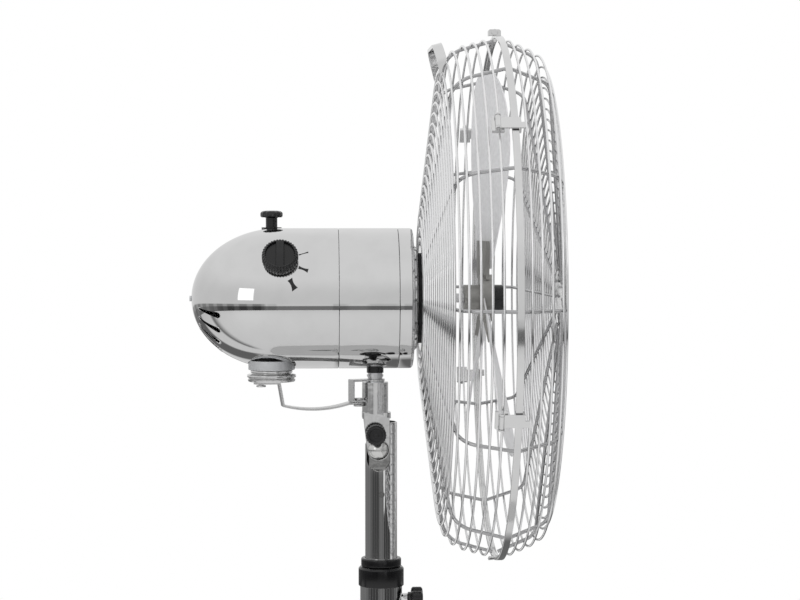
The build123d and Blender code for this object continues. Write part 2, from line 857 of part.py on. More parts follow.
def front_cover():
    """Front end bell with the boss and the threaded nose for the guard."""
    rear = front_seam_x + seam_gap
    inner = housing_radius - housing_wall
    body = turned_x(
        (rear, inner - 2),
        (rear, housing_radius),
        (front_face_x - 1.2, housing_radius),
        (front_face_x, housing_radius - 1.2),
        (front_face_x, front_boss_radius),
        (front_boss_x, front_boss_radius - 0.4),
        (front_boss_x, nose_radius),
        (nose_x, nose_radius),
        (nose_x, nose_bore),
        (rear + 4, nose_bore),
        (rear + 4, inner - 2),
    )
    cavity = turned_x(
        (rear - 1, nose_radius + 4),
        (rear - 1, inner - 2),
        (front_face_x - 3, inner - 2),
        (front_face_x - 3, nose_radius + 4),
    )
    pillars = [tie_place(k) * bar_x(tie_radius + 2.5, stator_front_x + seat_gap, front_face_x - 2) for k in range(4)]
    threads = [tie_place(k) * bar_x(tie_radius + slip_fit, -60, front_face_x - 6) for k in range(4)]
    return body - cavity + pillars - threads


def tie_place(index):
    """Place of one tie rod on its circle, in the fan's cross section."""
    angle = radians(45 + 90 * index)
    return Pos(0, tie_circle_radius * cos(angle), tie_circle_radius * sin(angle))


def tie_rods():
    """Four rods that hold the motor between its end plates."""
    rods = []
    for k in range(4):
        rod = bar_x(tie_radius, rear_plate_x - 2.5, front_face_x - 7)
        head = bar_x(tie_radius * 1.7, rear_plate_x - 4.5, rear_plate_x - seat_gap)
        rods.append(tie_place(k) * (rod + head))
    return rods


def stator_core():
    """Laminated ring with holes for the tie rods."""
    core = bar_x(stator_radius, stator_rear_x, stator_front_x)
    core -= bar_x(core_radius + air_gap, stator_rear_x - 1, stator_front_x + 1)
    holes = [tie_place(k) * bar_x(tie_radius + slip_fit, stator_rear_x - 1, stator_front_x + 1) for k in range(4)]
    return core - holes


def stator_coils():
    """End turns of the winding, one ring on each face of the core."""
    rings = []
    for rear in (stator_rear_x - coil_height - seat_gap, stator_front_x + seat_gap):
        ring = bar_x(coil_outer_radius - 4, rear, rear + coil_height)
        ring -= bar_x(coil_inner_radius, rear - 1, rear + coil_height + 1)
        rings.append(ring)
    return rings


def rear_plate():
    """Rear end plate of the motor, with spacers up to the stator."""
    plate = bar_x(stator_radius + 1, rear_plate_x, rear_plate_x + rear_plate_thickness)
    hub = bar_x(shaft_radius + 6, rear_plate_x, rear_plate_x + 9)
    spacers = [tie_place(k) * bar_x(tie_radius + 2.5, rear_plate_x, stator_rear_x - seat_gap) for k in range(4)]
    holes = [tie_place(k) * bar_x(tie_radius + slip_fit, rear_plate_x - 1, 0) for k in range(4)]
    seat = bar_x(shaft_radius + 3.5, rear_plate_x - 1, rear_plate_x + 10)
    return plate + hub + spacers - holes - seat


def shaft_bush(rear, length, outer):
    """Bronze bush round the rotor shaft."""
    bush = bar_x(outer, rear, rear + length)
    return bush - bar_x(shaft_radius + running_fit, rear - 1, rear + length + 1)


def front_bush():
    """Bush in the nose of the front cover."""
    return shaft_bush(front_face_x, nose_x - front_face_x - 1, nose_bore - slip_fit)


def rear_bush():
    """Bush in the rear plate."""
    return shaft_bush(rear_plate_x + 0.2, 8.6, shaft_radius + 3.5 - slip_fit)


def rotor_shaft():
    """Shaft from the worm at the tail to the blades in front."""
    shaft = bar_x(shaft_radius, shaft_rear_x + worm_length, shaft_front_x)
    groove = 1.6
    worm = bar_x(worm_radius - 0.9, shaft_rear_x, shaft_rear_x + worm_length + 0.5)
    count = int(worm_length / (2 * groove))
    for k in range(count):
        place = shaft_rear_x + 2 * groove * k
        worm += bar_x(worm_radius, place, place + groove)
    return shaft + worm


def rotor_core():
    """Rotor of the motor, pressed on the shaft."""
    core = bar_x(core_radius, stator_rear_x, stator_front_x)
    return core - bar_x(shaft_radius + seat_gap, stator_rear_x - 1, stator_front_x + 1)


def gear_case():
    """Gearbox casting behind the motor, with the foot disc that shows below."""
    front = spindle_x + gearcase_half_length + 4.6
    rear = spindle_x - gearcase_half_length + 6
    near = crank_y - crank_gear_pitch_radius - 5
    far = spindle_y + pinion_pitch_radius + 5
    floor = -foot_disc_drop + 6
    case = block(rear, front, near, far, floor, gearcase_top)
    case = case & bar_x(gearcase_radius, rear - 1, front + 1)
    stay = tube_bridge(front)
    foot = post(foot_disc_radius, -foot_disc_drop, floor + 2, x=crank_x, y=crank_y)
    pocket_top = -gear_top_drop + body_gap
    pocket_low = -gear_top_drop - gear_thickness - body_gap
    gear_pocket = post(crank_gear_pitch_radius + 1.4, pocket_low, pocket_top, x=crank_x, y=crank_y)
    pinion_pocket = post(pinion_pitch_radius + 1.4, pocket_low, pocket_top, x=spindle_x, y=spindle_y)
    half = worm_wheel_height / 2 + body_gap
    wheel_pocket = post(worm_wheel_radius + 1.2, -half, half, x=spindle_x, y=spindle_y)
    worm_channel = bar_x(worm_radius + body_gap, shaft_rear_x - 2, front + 30)
    gear_shaft_bore = post(gear_shaft_radius + running_fit, pocket_low - 4, gear_shaft_top + 1, x=spindle_x, y=spindle_y)
    rod_bore = post(pull_rod_radius + body_gap, gear_shaft_top, gearcase_top + 1, x=spindle_x, y=spindle_y)
    crank_bore = post(crank_shaft_radius + running_fit, -foot_disc_drop - 1, pocket_top + 6, x=crank_x, y=crank_y)
    body = case + stay + foot
    body = body - gear_pocket - pinion_pocket - wheel_pocket - worm_channel
    return body - gear_shaft_bore - rod_bore - crank_bore


def tube_bridge(front):
    """Stays that carry the gearbox on the motor's rear plate."""
    end = rear_plate_x - seat_gap
    return block(front - 1, end, crank_y - 6, crank_y + 6, -30, -12) + block(front - 1, end, 8, 18, -12, 8)


def worm_wheel():
    """Wheel driven by the worm, free on the gear shaft while the knob is up."""
    wheel = toothed(14, 1.0, worm_wheel_height)
    wheel = wheel & Cylinder(worm_wheel_radius, worm_wheel_height)
    wheel -= Cylinder(gear_shaft_radius + running_fit, 20)
    return Pos(spindle_x, spindle_y, 0) * wheel


def gear_shaft():
    """Upright shaft with the pinion that drives the crank gear."""
    low = -gear_top_drop - gear_thickness - body_gap - 3.6
    shaft = post(gear_shaft_radius, low, gear_shaft_top, x=spindle_x, y=spindle_y)
    middle = -gear_top_drop - gear_thickness / 2
    tooth_turn = 180 / pinion_teeth
    pinion = Rot(0, 0, tooth_turn + 90) * toothed(pinion_teeth, gear_module, gear_thickness)
    return shaft + Pos(spindle_x, spindle_y, middle) * pinion


def crank_gear():
    """Large gear on the crank shaft."""
    middle = -gear_top_drop - gear_thickness / 2
    gear = Rot(0, 0, 90) * toothed(crank_gear_teeth, gear_module, gear_thickness)
    gear -= Cylinder(crank_shaft_radius + seat_gap, 20)
    return Pos(crank_x, crank_y, middle) * gear


def crank_bell():
    """Bright bell of the crank, under the gearbox's foot disc, with its shaft."""
    top = -foot_disc_drop - body_gap
    low = top - crank_bell_height
    bell = turned_z(
        (0, top),
        (crank_bell_top_radius, top),
        (crank_bell_top_radius, top - 1.6),
        (crank_bell_top_radius + 1.4, top - 3.2),
        (crank_bell_radius, top - 5.2),
        (crank_bell_radius, low + 1.2),
        (crank_bell_radius - 1.2, low),
        (0, low),
    )
    shaft = post(crank_shaft_radius, top - 1, -gear_top_drop + 5)
    pin_hole = post(crank_pin_radius + slip_fit, low - 1, low + 5, x=crank_pin_x - crank_x, y=crank_pin_y - crank_y)
    return Pos(crank_x, crank_y, 0) * (bell + shaft - pin_hole)


def crank_pin():
    """Pin of the crank, with the head that holds the link up."""
    low = -bell_bottom_drop - body_gap * 2 - link_thickness - rivet_head_height
    pin = post(crank_pin_radius, low, -bell_bottom_drop + 4.5, x=crank_pin_x, y=crank_pin_y)
    return pin + post(rivet_head_radius, low, low + rivet_head_height, x=crank_pin_x, y=crank_pin_y)


def dial_frame():
    """Frame whose Z leaves the housing at the speed dial, its origin on the fan axis."""
    return Pos(dial_x, 0, 0) * Rot(90 - dial_lift_angle, 0, 0)


def speed_dial():
    """Black knurled dial with a grip bar and its spindle."""
    base = housing_radius + dial_skirt_gap
    body = Cylinder(dial_radius, dial_height)
    body = chamfer(body.faces().sort_by(Axis.Z)[-1].edges(), 1.0)
    notch = 0.9
    knurls = [
        Rot(0, 0, 360 * k / dial_teeth) * Pos(dial_radius + notch * 0.35, 0, -1.0) * Cylinder(notch, dial_height)
        for k in range(dial_teeth)
    ]
    body -= knurls
    scoop_width = dial_radius - dial_grip_width / 2
    for side in (-1, 1):
        middle = side * (dial_grip_width + scoop_width) / 2
        scoop = Pos(middle, 0, dial_height / 2) * Box(scoop_width, 2 * dial_radius, 2 * dial_grip_depth)
        body -= scoop & Cylinder(dial_radius - 2.2, 3 * dial_height)
    spindle = Pos(0, 0, -dial_height / 2 - 7) * Cylinder(dial_spindle_radius, 16)
    return dial_frame() * Pos(0, 0, base + dial_height / 2) * (body + spindle)


def speed_switch():
    """Rotary switch behind the dial, hung on a strap from the housing."""
    top = housing_radius - housing_wall - 3.4
    box = Pos(0, 0, top - switch_height / 2) * Box(switch_width, switch_width, switch_height)
    collar = Pos(0, 0, top + 1.0) * Cylinder(dial_spindle_radius + 3, 3.6)
    bore = Pos(0, 0, top) * Cylinder(dial_spindle_radius + running_fit, 2 * 11.5)
    return dial_frame() * (box + collar - bore)


def pull_knob():
    """Pull knob of the oscillation, with the rod down to the gearbox."""
    cap_low = pull_top - pull_cap_height
    cap = turned_z(
        (0, cap_low),
        (pull_cap_radius - 0.8, cap_low),
        (pull_cap_radius, cap_low + 0.8),
        (pull_cap_radius, pull_top - 2.0),
        (pull_cap_radius - 1.2, pull_top - 0.9),
        (0, pull_top),
    )
    stem = post(pull_stem_radius, housing_radius - 16, cap_low + 0.5)
    rod = post(pull_rod_radius, gear_shaft_top + body_gap + pull_travel, housing_radius - 15)
    return Pos(spindle_x, spindle_y, 0) * (cap + stem + rod)


def pull_collar():
    """Black grommet in the housing round the pull knob's stem."""
    low = housing_radius - 9
    flange = post(pull_collar_radius, low, housing_radius + 0.5)
    skin = Pos(-spindle_x, -spindle_y, 0) * bar_x(housing_radius + seat_gap, -140, 20)
    sleeve = post(pull_stem_radius + 1.1, low, housing_radius - 0.5)
    collar = (flange - skin) + sleeve - post(pull_stem_radius + body_gap, 0, 90)
    return Pos(spindle_x, spindle_y, 0) * collar


def gland_frame():
    """Frame whose Z leaves the housing at the cable gland, low on the far side."""
    angle = degrees(asin(gland_y / housing_radius))
    return Pos(gland_x, 0, 0) * Rot(180 + angle, 0, 0) * Pos(0, 0, housing_radius)


def cable_gland():
    """Rubber gland for the mains cord, in the underside of the rear shell."""
    lip = 2.2
    flange = Cylinder(gland_radius, lip)
    neck = Pos(0, 0, -lip) * Cylinder(gland_radius - 1.6, 4 * lip)
    inner = Pos(0, 0, -housing_wall - 2.4) * Cylinder(gland_radius, lip)
    outer = Pos(0, 0, lip / 2 + 0.5) * flange
    gland = outer + neck + inner - Cylinder(3.4, 40)
    skin = bar_x(housing_radius + 0.02, -100, 0) - bar_x(housing_radius - housing_wall - 0.02, -101, 1)
    skin -= gland_frame() * Cylinder(gland_radius - 1.55, 30)
    return gland_frame() * gland - skin


def tail_screw():
    """Small screw in the tip of the rear shell."""
    tip = dome_tail_x - seat_gap
    head = bar_x(tail_screw_radius, tip - 1.6, tip)
    return head + bar_x(tail_screw_radius * 0.6, tip - 0.1, tip + 9)


def guard_gasket():
    """Black ring between the housing and the rear guard."""
    return turned_x(
        (front_boss_x + seat_gap, nose_radius + 1),
        (front_boss_x + seat_gap, gasket_radius),
        (front_boss_x + gasket_thickness, gasket_radius),
        (front_boss_x + gasket_thickness, nose_radius + 1),
    )


def rear_guard_plate():
    """Centre plate of the rear guard, on the nose of the cover."""
    plate = bar_x(guard_plate_radius, plate_x, plate_x + guard_plate_thickness)
    return plate - bar_x(nose_radius + slip_fit, plate_x - 1, plate_x + 3)


def guard_nut():
    """Ring nut that holds the rear guard on the nose."""
    rear = plate_x + guard_plate_thickness + seat_gap
    nut = fluted(guard_nut_radius, guard_nut_thickness, 10, 3.0)
    nut = Pos(rear + guard_nut_thickness / 2, 0, 0) * Rot(0, 90, 0) * nut
    return nut - bar_x(nose_radius + slip_fit, rear - 1, rear + guard_nut_thickness + 1)


def rear_guard_path():
    """Wire centre line of one rear rib, as (x, radius)."""
    start = (rib_plane_x, guard_nut_radius + 4)
    knee = (rib_plane_x, guard_plate_radius + 27)
    end = (rim_x - 2.4, rim_wire_radius)
    return FilletPolyline(start, knee, (rear_bend_x, rear_bend_radius), end, radius=rear_bend_fillet)


def front_guard_path():
    """Wire centre line of one front rib, as (x, radius)."""
    start = (rim_x + 2.4, rim_wire_radius)
    end = (front_disc_x, front_disc_radius - 4)
    return FilletPolyline(start, (front_bend_x, front_bend_radius), end, radius=front_bend_fillet)


def guard_ribs(path):
    """The ribs of one guard, all round the fan axis."""
    line = Plane.XZ * path
    section = Plane(origin=line @ 0, z_dir=line % 0) * Circle(rib_radius)
    rib = sweep(section, path=line)
    return [about_fan_axis(rib, 360 * k / rib_count) for k in range(rib_count)]


def ring_places(path, start, side, least_radius=0.0):
    """Centres (x, radius) of the rings laid along the outside of a rib."""
    offset = side * (rib_radius + ring_radius + seat_gap)
    count = int((path.length - start) / ring_pitch)
    places = []
    for k in range(count + 1):
        share = (start + k * ring_pitch) / path.length
        if share <= 0.995:
            point = path @ share
            along = path % share
            place = (point.X - offset * along.Y, point.Y + offset * along.X)
            if place[1] > least_radius:
                places.append(place)
    return places


def guard_rings(places):
    """Closed wire rings, one for each place."""
    return [Pos(x, 0, 0) * Rot(0, 90, 0) * Torus(radius, ring_radius) for x, radius in places]


def rear_rings():
    """Rings of the rear guard, from its centre plate to the rim."""
    return guard_rings(ring_places(rear_guard_path(), guard_plate_radius - guard_nut_radius + 2, 1))


def front_rings():
    """Rings of the front guard, from the rim to the centre disc."""
    least = front_disc_radius + ring_radius + body_gap
    return guard_rings(ring_places(front_guard_path(), 6.5, 1, least))


def front_disc():
    """Bare centre disc of the front guard, slightly domed."""
    rear = front_disc_x + rib_radius + seat_gap
    front = rear + front_disc_thickness
    return turned_x(
        (rear, 0),
        (rear, front_disc_radius),
        (rear + 1.2, front_disc_radius),
        (front - 0.6, front_disc_radius - 4),
        (front, 0),
    )


def rim_band():
    """Clamp band round the rims of both guards, split at the top."""
    half = band_width / 2
    inner = band_radius - band_thickness
    lip_x = half + 1.2
    ring = turned_x(
        (rim_x - half, inner),
        (rim_x - half, band_radius),
        (rim_x + half, band_radius),
        (rim_x + half, inner),
    )
    lips = turned_x(
        (rim_x - 0.8, inner - 1.4),
        (rim_x - 0.8, inner + 0.5),
        (rim_x + 0.8, inner + 0.5),
        (rim_x + 0.8, inner - 1.4),
    )
    split = block(rim_x - lip_x - 3, rim_x + lip_x + 3, -lug_split / 2, lug_split / 2, inner - 5, band_radius + 1)
    return ring + lips - split


def clamp_lugs():
    """Two lugs on the ends of the band, drawn together by the rim screw."""
    lugs = []
    for side in (-1, 1):
        y0 = side * lug_split / 2
        y1 = y0 + side * lug_thickness
        low = sqrt(band_radius**2 - y0**2) + 0.03
        lug = block(rim_x - lug_length + 4, rim_x + 4, min(y0, y1), max(y0, y1), low, band_radius + lug_height)
        lug = fillet(lug.edges().filter_by(Axis.Y).group_by(Axis.Z)[-1], 2.0)
        lugs.append(lug - bar_y(lug_screw_radius + slip_fit, -10, 10, x=rim_x - 1.5, z=lug_screw_z()))
    return lugs


def lug_screw_z():
    """Height of the rim screw above the fan axis."""
    return band_radius + lug_height - 2.6


def rim_screw():
    """Screw through both lugs, with its nut."""
    face = lug_split / 2 + lug_thickness + seat_gap
    x = rim_x - 1.5
    z = lug_screw_z()
    head = bar_y(lug_screw_radius * 1.7, -face - 1.8, -face, x=x, z=z)
    nut = Pos(x, face, z) * Rot(-90, 0, 0) * extrude(RegularPolygon(2.7, 6), 2.2)
    return head + nut + bar_y(lug_screw_radius, -face - 0.5, face + 3, x=x, z=z)


def tail_hook():
    """Pointed hook under the rim, where the two guards are first hung together."""
    low = -band_radius - 0.02
    outline = [
        (rim_x - 5, low),
        (rim_x + 4, low),
        (rim_x + 5.5, low - 1.2),
        (rim_x - 6.0, low - tail_hook_reach),
    ]
    return extrude(Plane.XZ * make_face(Polyline(*outline, close=True)), 4, both=True)


def handle_seat(first_share=0.7, steps=12):
    """Room of the rear guard's rings where the handle's legs stand on them."""
    path = rear_guard_path()
    offset = rib_radius + 2 * ring_radius + body_gap
    side = (handle_span - handle_thickness) / 2
    edge = []
    for k in range(steps + 1):
        share = first_share + (1 - first_share) * k / steps
        point, along = path @ share, path % share
        radius = point.Y + offset * along.X
        edge.append((point.X - offset * along.Y, sqrt(radius**2 - side**2)))
    outline = Polyline((edge[0][0], 0), *edge, (edge[-1][0], 0), close=True)
    return extrude(Plane.XZ * make_face(outline), handle_span, both=True)


def carry_handle():
    """Strap handle, arched over the top of the rear guard and leaning back."""
    height = (handle_tip_z - handle_base_z) / cos(radians(handle_lean)) - handle_thickness / 2
    half = handle_span / 2
    path = FilletPolyline((-half, 0), (-half, height), (half, height), (half, 0), radius=handle_corner)
    frame = Pos(handle_base_x, 0, handle_base_z) * Rot(0, -handle_lean, 0) * Rot(0, 0, 90) * Rot(90, 0, 0)
    strap = frame * extrude(trace(path, handle_thickness), handle_width / 2, both=True)
    return strap - handle_seat()


def latch_hinge_bases():
    """Hinge brackets of the four latches, on the rear guard's rim."""
    low = rim_wire_radius + 2.0
    top = latch_hinge_radius - latch_knuckle_radius - body_gap
    outer = latch_width / 2
    base = block(latch_hinge_x - 5, latch_hinge_x + 5, -outer, outer, low, top)
    ears = []
    for side in (-1, 1):
        y0 = side * (outer - latch_ear_thickness)
        y1 = side * outer
        ear = block(latch_hinge_x - 2.4, latch_hinge_x + 2.4, min(y0, y1), max(y0, y1), low, latch_hinge_radius)
        ear += bar_y(2.4, min(y0, y1), max(y0, y1), x=latch_hinge_x, z=latch_hinge_radius)
        ears.append(ear)
    bracket = base + ears
    bracket -= bar_y(latch_pin_radius + seat_gap, -20, 20, x=latch_hinge_x, z=latch_hinge_radius)
    bracket -= guard_rim_envelope()
    return [about_fan_axis(bracket, angle) for angle in latch_angles]


def guard_rim_envelope():
    """Space of the rear guard's outer rings near the rim."""
    clear = rib_radius + 2 * ring_radius + 2 * seat_gap
    return turned_x(
        (rear_bend_x, 0),
        (rear_bend_x, rear_bend_radius + clear + 0.6),
        (rim_x, rim_wire_radius + clear + 0.6),
        (rim_x, 0),
    )


def latch_pins():
    """Hinge pins of the latches."""
    half = latch_width / 2 + 0.4
    pin = bar_y(latch_pin_radius, -half, half, x=latch_hinge_x, z=latch_hinge_radius)
    return [about_fan_axis(pin, angle) for angle in latch_angles]


def rim_latch(angle):
    """One sprung latch over the rim band, hinged at its rear end."""
    half = latch_width / 2 - latch_ear_thickness - body_gap
    inner = latch_hinge_radius - latch_knuckle_radius
    front = rim_x + band_width / 2 + body_gap
    knuckle = bar_y(latch_knuckle_radius, -half, half, x=latch_hinge_x, z=latch_hinge_radius)
    arm = block(latch_hinge_x, front + latch_thickness, -half, half, inner, inner + latch_thickness)
    lip = block(front, front + latch_thickness, -half, half, inner - latch_lip, inner + latch_thickness)
    tab = block(front + latch_thickness - 0.1, front + 5, -half, -half + 6, inner + 0.2, inner + latch_thickness)
    latch = knuckle + arm + lip + tab
    latch -= bar_y(latch_pin_radius + running_fit, -20, 20, x=latch_hinge_x, z=latch_hinge_radius)
    return about_fan_axis(latch, angle)


def blade_plane(index):
    """Frame of one blade: X along the chord, Y outwards, Z towards the front."""
    turn = 360 * index / blade_count
    return Rot(turn, 0, 0) * Pos(blade_x, 0, 0) * Rot(0, 90, 0) * Rot(0, 0, 90) * Rot(0, blade_pitch, 0)


def blade_outline():
    """Petal outline of a blade, seen along the air."""
    root = blade_root_width / 2
    side = blade_chord / 2
    left = Spline(
        (-root, blade_root_radius),
        (-side * 0.72, blade_chord_radius * 0.55),
        (-side, blade_chord_radius),
        (-side * 0.62, blade_tip_radius * 0.945),
        (0, blade_tip_radius),
    )
    right = Spline(
        (0, blade_tip_radius),
        (side * 0.62, blade_tip_radius * 0.945),
        (side, blade_chord_radius),
        (side * 0.72, blade_chord_radius * 0.55),
        (root, blade_root_radius),
    )
    return make_face(left + right + Line((root, blade_root_radius), (-root, blade_root_radius)))


def blade_sheet():
    """Sheet bent to the camber, running outwards along Y."""
    reach = blade_chord
    radius = blade_camber_radius
    sheet = Pos(0, 0, radius) * Rot(90, 0, 0) * Cylinder(radius + blade_thickness / 2, 2.2 * blade_tip_radius)
    sheet -= Pos(0, 0, radius) * Rot(90, 0, 0) * Cylinder(radius - blade_thickness / 2, 2.3 * blade_tip_radius)
    return sheet & Box(2 * reach, 2.1 * blade_tip_radius, 60)


def rivet_places():
    """Distances of the blade rivets from the shaft."""
    return (hub_arm_reach - 6, hub_arm_reach - 17)


def fan_blade():
    """One pressed blade in its own frame, with rivet holes."""
    planform = Pos(0, 0, -30) * extrude(blade_outline(), 60)
    blade = blade_sheet() & planform
    for place in rivet_places():
        blade -= Pos(0, place, 0) * Cylinder(blade_rivet_radius + slip_fit, 10)
    return blade


def fan_blades():
    """The blades, each at its place round the shaft."""
    blade = fan_blade()
    return [blade_plane(k) * blade for k in range(blade_count)]


def hub_arm():
    """One arm of the hub, lying behind its blade, in the blade's frame."""
    gap = seat_gap + blade_thickness / 2
    inner = hub_disc_radius - 4
    length = hub_arm_reach - inner
    bar = Pos(0, inner + length / 2, 0) * Box(hub_arm_width, length, 2 * hub_arm_thickness + 2 * gap)
    radius = blade_camber_radius
    above = Pos(0, 0, radius) * Rot(90, 0, 0) * Cylinder(radius + gap, 4 * hub_arm_reach)
    arm = bar - above
    for place in rivet_places():
        arm -= Pos(0, place, 0) * Cylinder(blade_rivet_radius + slip_fit, 20)
    return arm


def blade_hub():
    """Hub with a boss, a disc and one arm behind each blade."""
    hub = turned_x(
        (hub_rear_x, 0),
        (hub_rear_x, hub_radius),
        (hub_disc_rear_x, hub_radius),
        (hub_disc_rear_x, hub_disc_radius - 1),
        (hub_disc_rear_x + 1, hub_disc_radius),
        (hub_front_x - 1, hub_disc_radius),
        (hub_front_x, hub_disc_radius - 1),
        (hub_front_x, 0),
    )
    hub += [blade_plane(k) * hub_arm() for k in range(blade_count)]
    return hub - bar_x(shaft_radius + seat_gap, hub_rear_x - 1, shaft_front_x)


def blade_rivets():
    """Rivets through the blades and the arms."""
    rivets = []
    for k in range(blade_count):
        for place in rivet_places():
            lift = place_lift()
            shank = Cylinder(blade_rivet_radius, blade_thickness + hub_arm_thickness + 1.6)
            head = Pos(0, 0, lift + 0.8) * Cylinder(blade_rivet_radius * 1.7, 1.4)
            rivet = Pos(0, place, -hub_arm_thickness / 2 + 0.4) * shank + Pos(0, place, 0) * head
            rivets.append(blade_plane(k) * rivet)
    return rivets


def place_lift():
    """Height of a rivet head's middle over the blade's middle surface."""
    return blade_thickness / 2 + 0.05


def spinner():
    """Blade nut on the shaft's end, with a rounded nose."""
    rear = hub_front_x + seat_gap
    body = bar_x(spinner_radius, rear, rear + spinner_length)
    body = fillet(body.faces().sort_by(Axis.X)[-1].edges(), 4.0)
    return body - bar_x(shaft_radius + seat_gap, rear - 1, shaft_front_x + 0.2)


def build_stand():
    """Pieces that stand on the floor."""
    save("base_cover", base_cover(), False)
    save("base_weight", base_weight(), False)
    save("rubber_feet", feet(), False)
    save("base_bolt", [base_bolt(), base_washer()], False)
    save("pole_flange", pole_flange(), False)
    save("pole_plug", pole_plug(), False)
    save("outer_pole", [outer_pole(), knob_boss()], False)
    save("height_collar", [height_collar(), collar_cap()], False)
    save("pole_bush", pole_bush(), False)
    save("height_knob", [height_knob(), height_stud()], False)


def build_mast():
    """Inner pole, tilt joint and link ear."""
    save("inner_pole", inner_pole())
    save("pole_tang", [pole_tang(), tang_pin()])
    save("pole_end_bush", pole_end_bush())
    save("tilt_bracket", tilt_bracket())
    save("neck_bush", neck_bush())
    save("pivot_bolt", [pivot_bolt(), pivot_nut(), clamp_nut()])
    save("tilt_knob", [clamp_knob(), clamp_screw()])
    save("swing_ear", [swing_ear(), link_pin()])
    save("swing_link", swing_link())


def build_motor():
    """Housing, motor, gearbox and controls."""
    save("neck_stub", neck_stub())
    save("neck_spindle", [neck_spindle()] + neck_washers())
    save("rear_housing", rear_housing())
    save("middle_housing", middle_housing())
    save("front_cover", front_cover())
    save("motor_rear_plate", rear_plate())
    save("motor_tie_rods", tie_rods())
    save("stator_core", stator_core())
    save("stator_coils", stator_coils())
    save("shaft_bushes", [front_bush(), rear_bush()])
    save("rotor_shaft", [rotor_shaft(), rotor_core()])
    save("gear_case", gear_case())
    save("worm_wheel", worm_wheel())
    save("gear_shaft", gear_shaft())
    save("crank_gear", crank_gear())
    save("crank_bell", [crank_bell(), crank_pin()])
    save("speed_dial", speed_dial())
    save("speed_switch", speed_switch())
    save("pull_knob", pull_knob())
    save("pull_collar", pull_collar())
    save("cable_gland", cable_gland())
    save("tail_screw", tail_screw())


def build_guards():
    """Guards, their fixings, the handle and the blades."""
    save("guard_gasket", guard_gasket())
    save("rear_guard_plate", rear_guard_plate())
    save("guard_nut", guard_nut())
    save("rear_guard_ribs", guard_ribs(rear_guard_path()))
    save("rear_guard_rings", rear_rings())
    save("front_guard_ribs", guard_ribs(front_guard_path()))
    save("front_guard_rings", front_rings())
    save("front_disc", front_disc())
    save("rim_band", rim_band())
    save("rim_clamp", clamp_lugs() + [rim_screw(), tail_hook()])
    save("carry_handle", carry_handle())
    save("latch_hinges", latch_hinge_bases() + latch_pins())
    for number, angle in enumerate(latch_angles, start=1):
        save(f"rim_latch_{number}", rim_latch(angle))
    save("blade_hub", blade_hub())
    save("fan_blades", fan_blades() + blade_rivets())
    save("spinner", spinner())


os.makedirs("parts", exist_ok=True)
build_stand()
build_mast()
build_motor()
build_guards()
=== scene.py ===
"""Looks of a pedestal fan: finishes, pressed details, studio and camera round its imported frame."""

from __future__ import annotations

import json
import logging
import math
from dataclasses import dataclass
from enum import Enum
from typing import Sequence

import bmesh
import bpy
from mathutils import Matrix, Vector

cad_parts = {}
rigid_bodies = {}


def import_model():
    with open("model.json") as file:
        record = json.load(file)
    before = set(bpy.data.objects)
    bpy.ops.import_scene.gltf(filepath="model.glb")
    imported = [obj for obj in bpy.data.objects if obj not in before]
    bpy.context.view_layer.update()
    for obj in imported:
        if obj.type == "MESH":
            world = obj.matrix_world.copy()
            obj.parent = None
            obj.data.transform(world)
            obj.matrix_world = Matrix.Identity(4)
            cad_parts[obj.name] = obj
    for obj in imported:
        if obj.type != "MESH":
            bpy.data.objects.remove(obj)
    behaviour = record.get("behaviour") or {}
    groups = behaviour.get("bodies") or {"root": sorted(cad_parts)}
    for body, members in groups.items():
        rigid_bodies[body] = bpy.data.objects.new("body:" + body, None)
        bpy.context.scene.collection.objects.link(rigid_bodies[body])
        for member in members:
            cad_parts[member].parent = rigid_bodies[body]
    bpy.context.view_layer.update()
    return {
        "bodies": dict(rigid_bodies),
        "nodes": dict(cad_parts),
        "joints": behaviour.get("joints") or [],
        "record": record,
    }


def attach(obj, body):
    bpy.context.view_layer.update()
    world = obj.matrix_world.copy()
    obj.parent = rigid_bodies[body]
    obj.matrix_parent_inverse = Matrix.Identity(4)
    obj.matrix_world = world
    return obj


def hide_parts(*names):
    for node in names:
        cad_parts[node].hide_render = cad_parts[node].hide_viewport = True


log = logging.getLogger("fan")

MM = 0.001
AXIS_HEIGHT = 930.0
SPUN_STEPS = 160
TUBE_STEPS = 128
HOLE_STEPS = 64
ROD_STEPS = 48
FILLET_STEPS = 5
SHARP_DEG = 32.0
SOFT_DEG = 38.0
WHITE = (1.0, 1.0, 1.0, 1.0)
BLACK = (0.0, 0.0, 0.0, 1.0)
MERGE_MM = 1e-4
MERGE_M = 1e-7
MERGE_CAD_M = 2e-6
Point = tuple[float, float]
Corner = tuple[float, float, float]


class Grain(Enum):
    """Which way the brushing of a metal runs."""

    ROUND_X = "round the fan axis"
    ALONG_X = "along the fan axis"
    NONE = "polished"


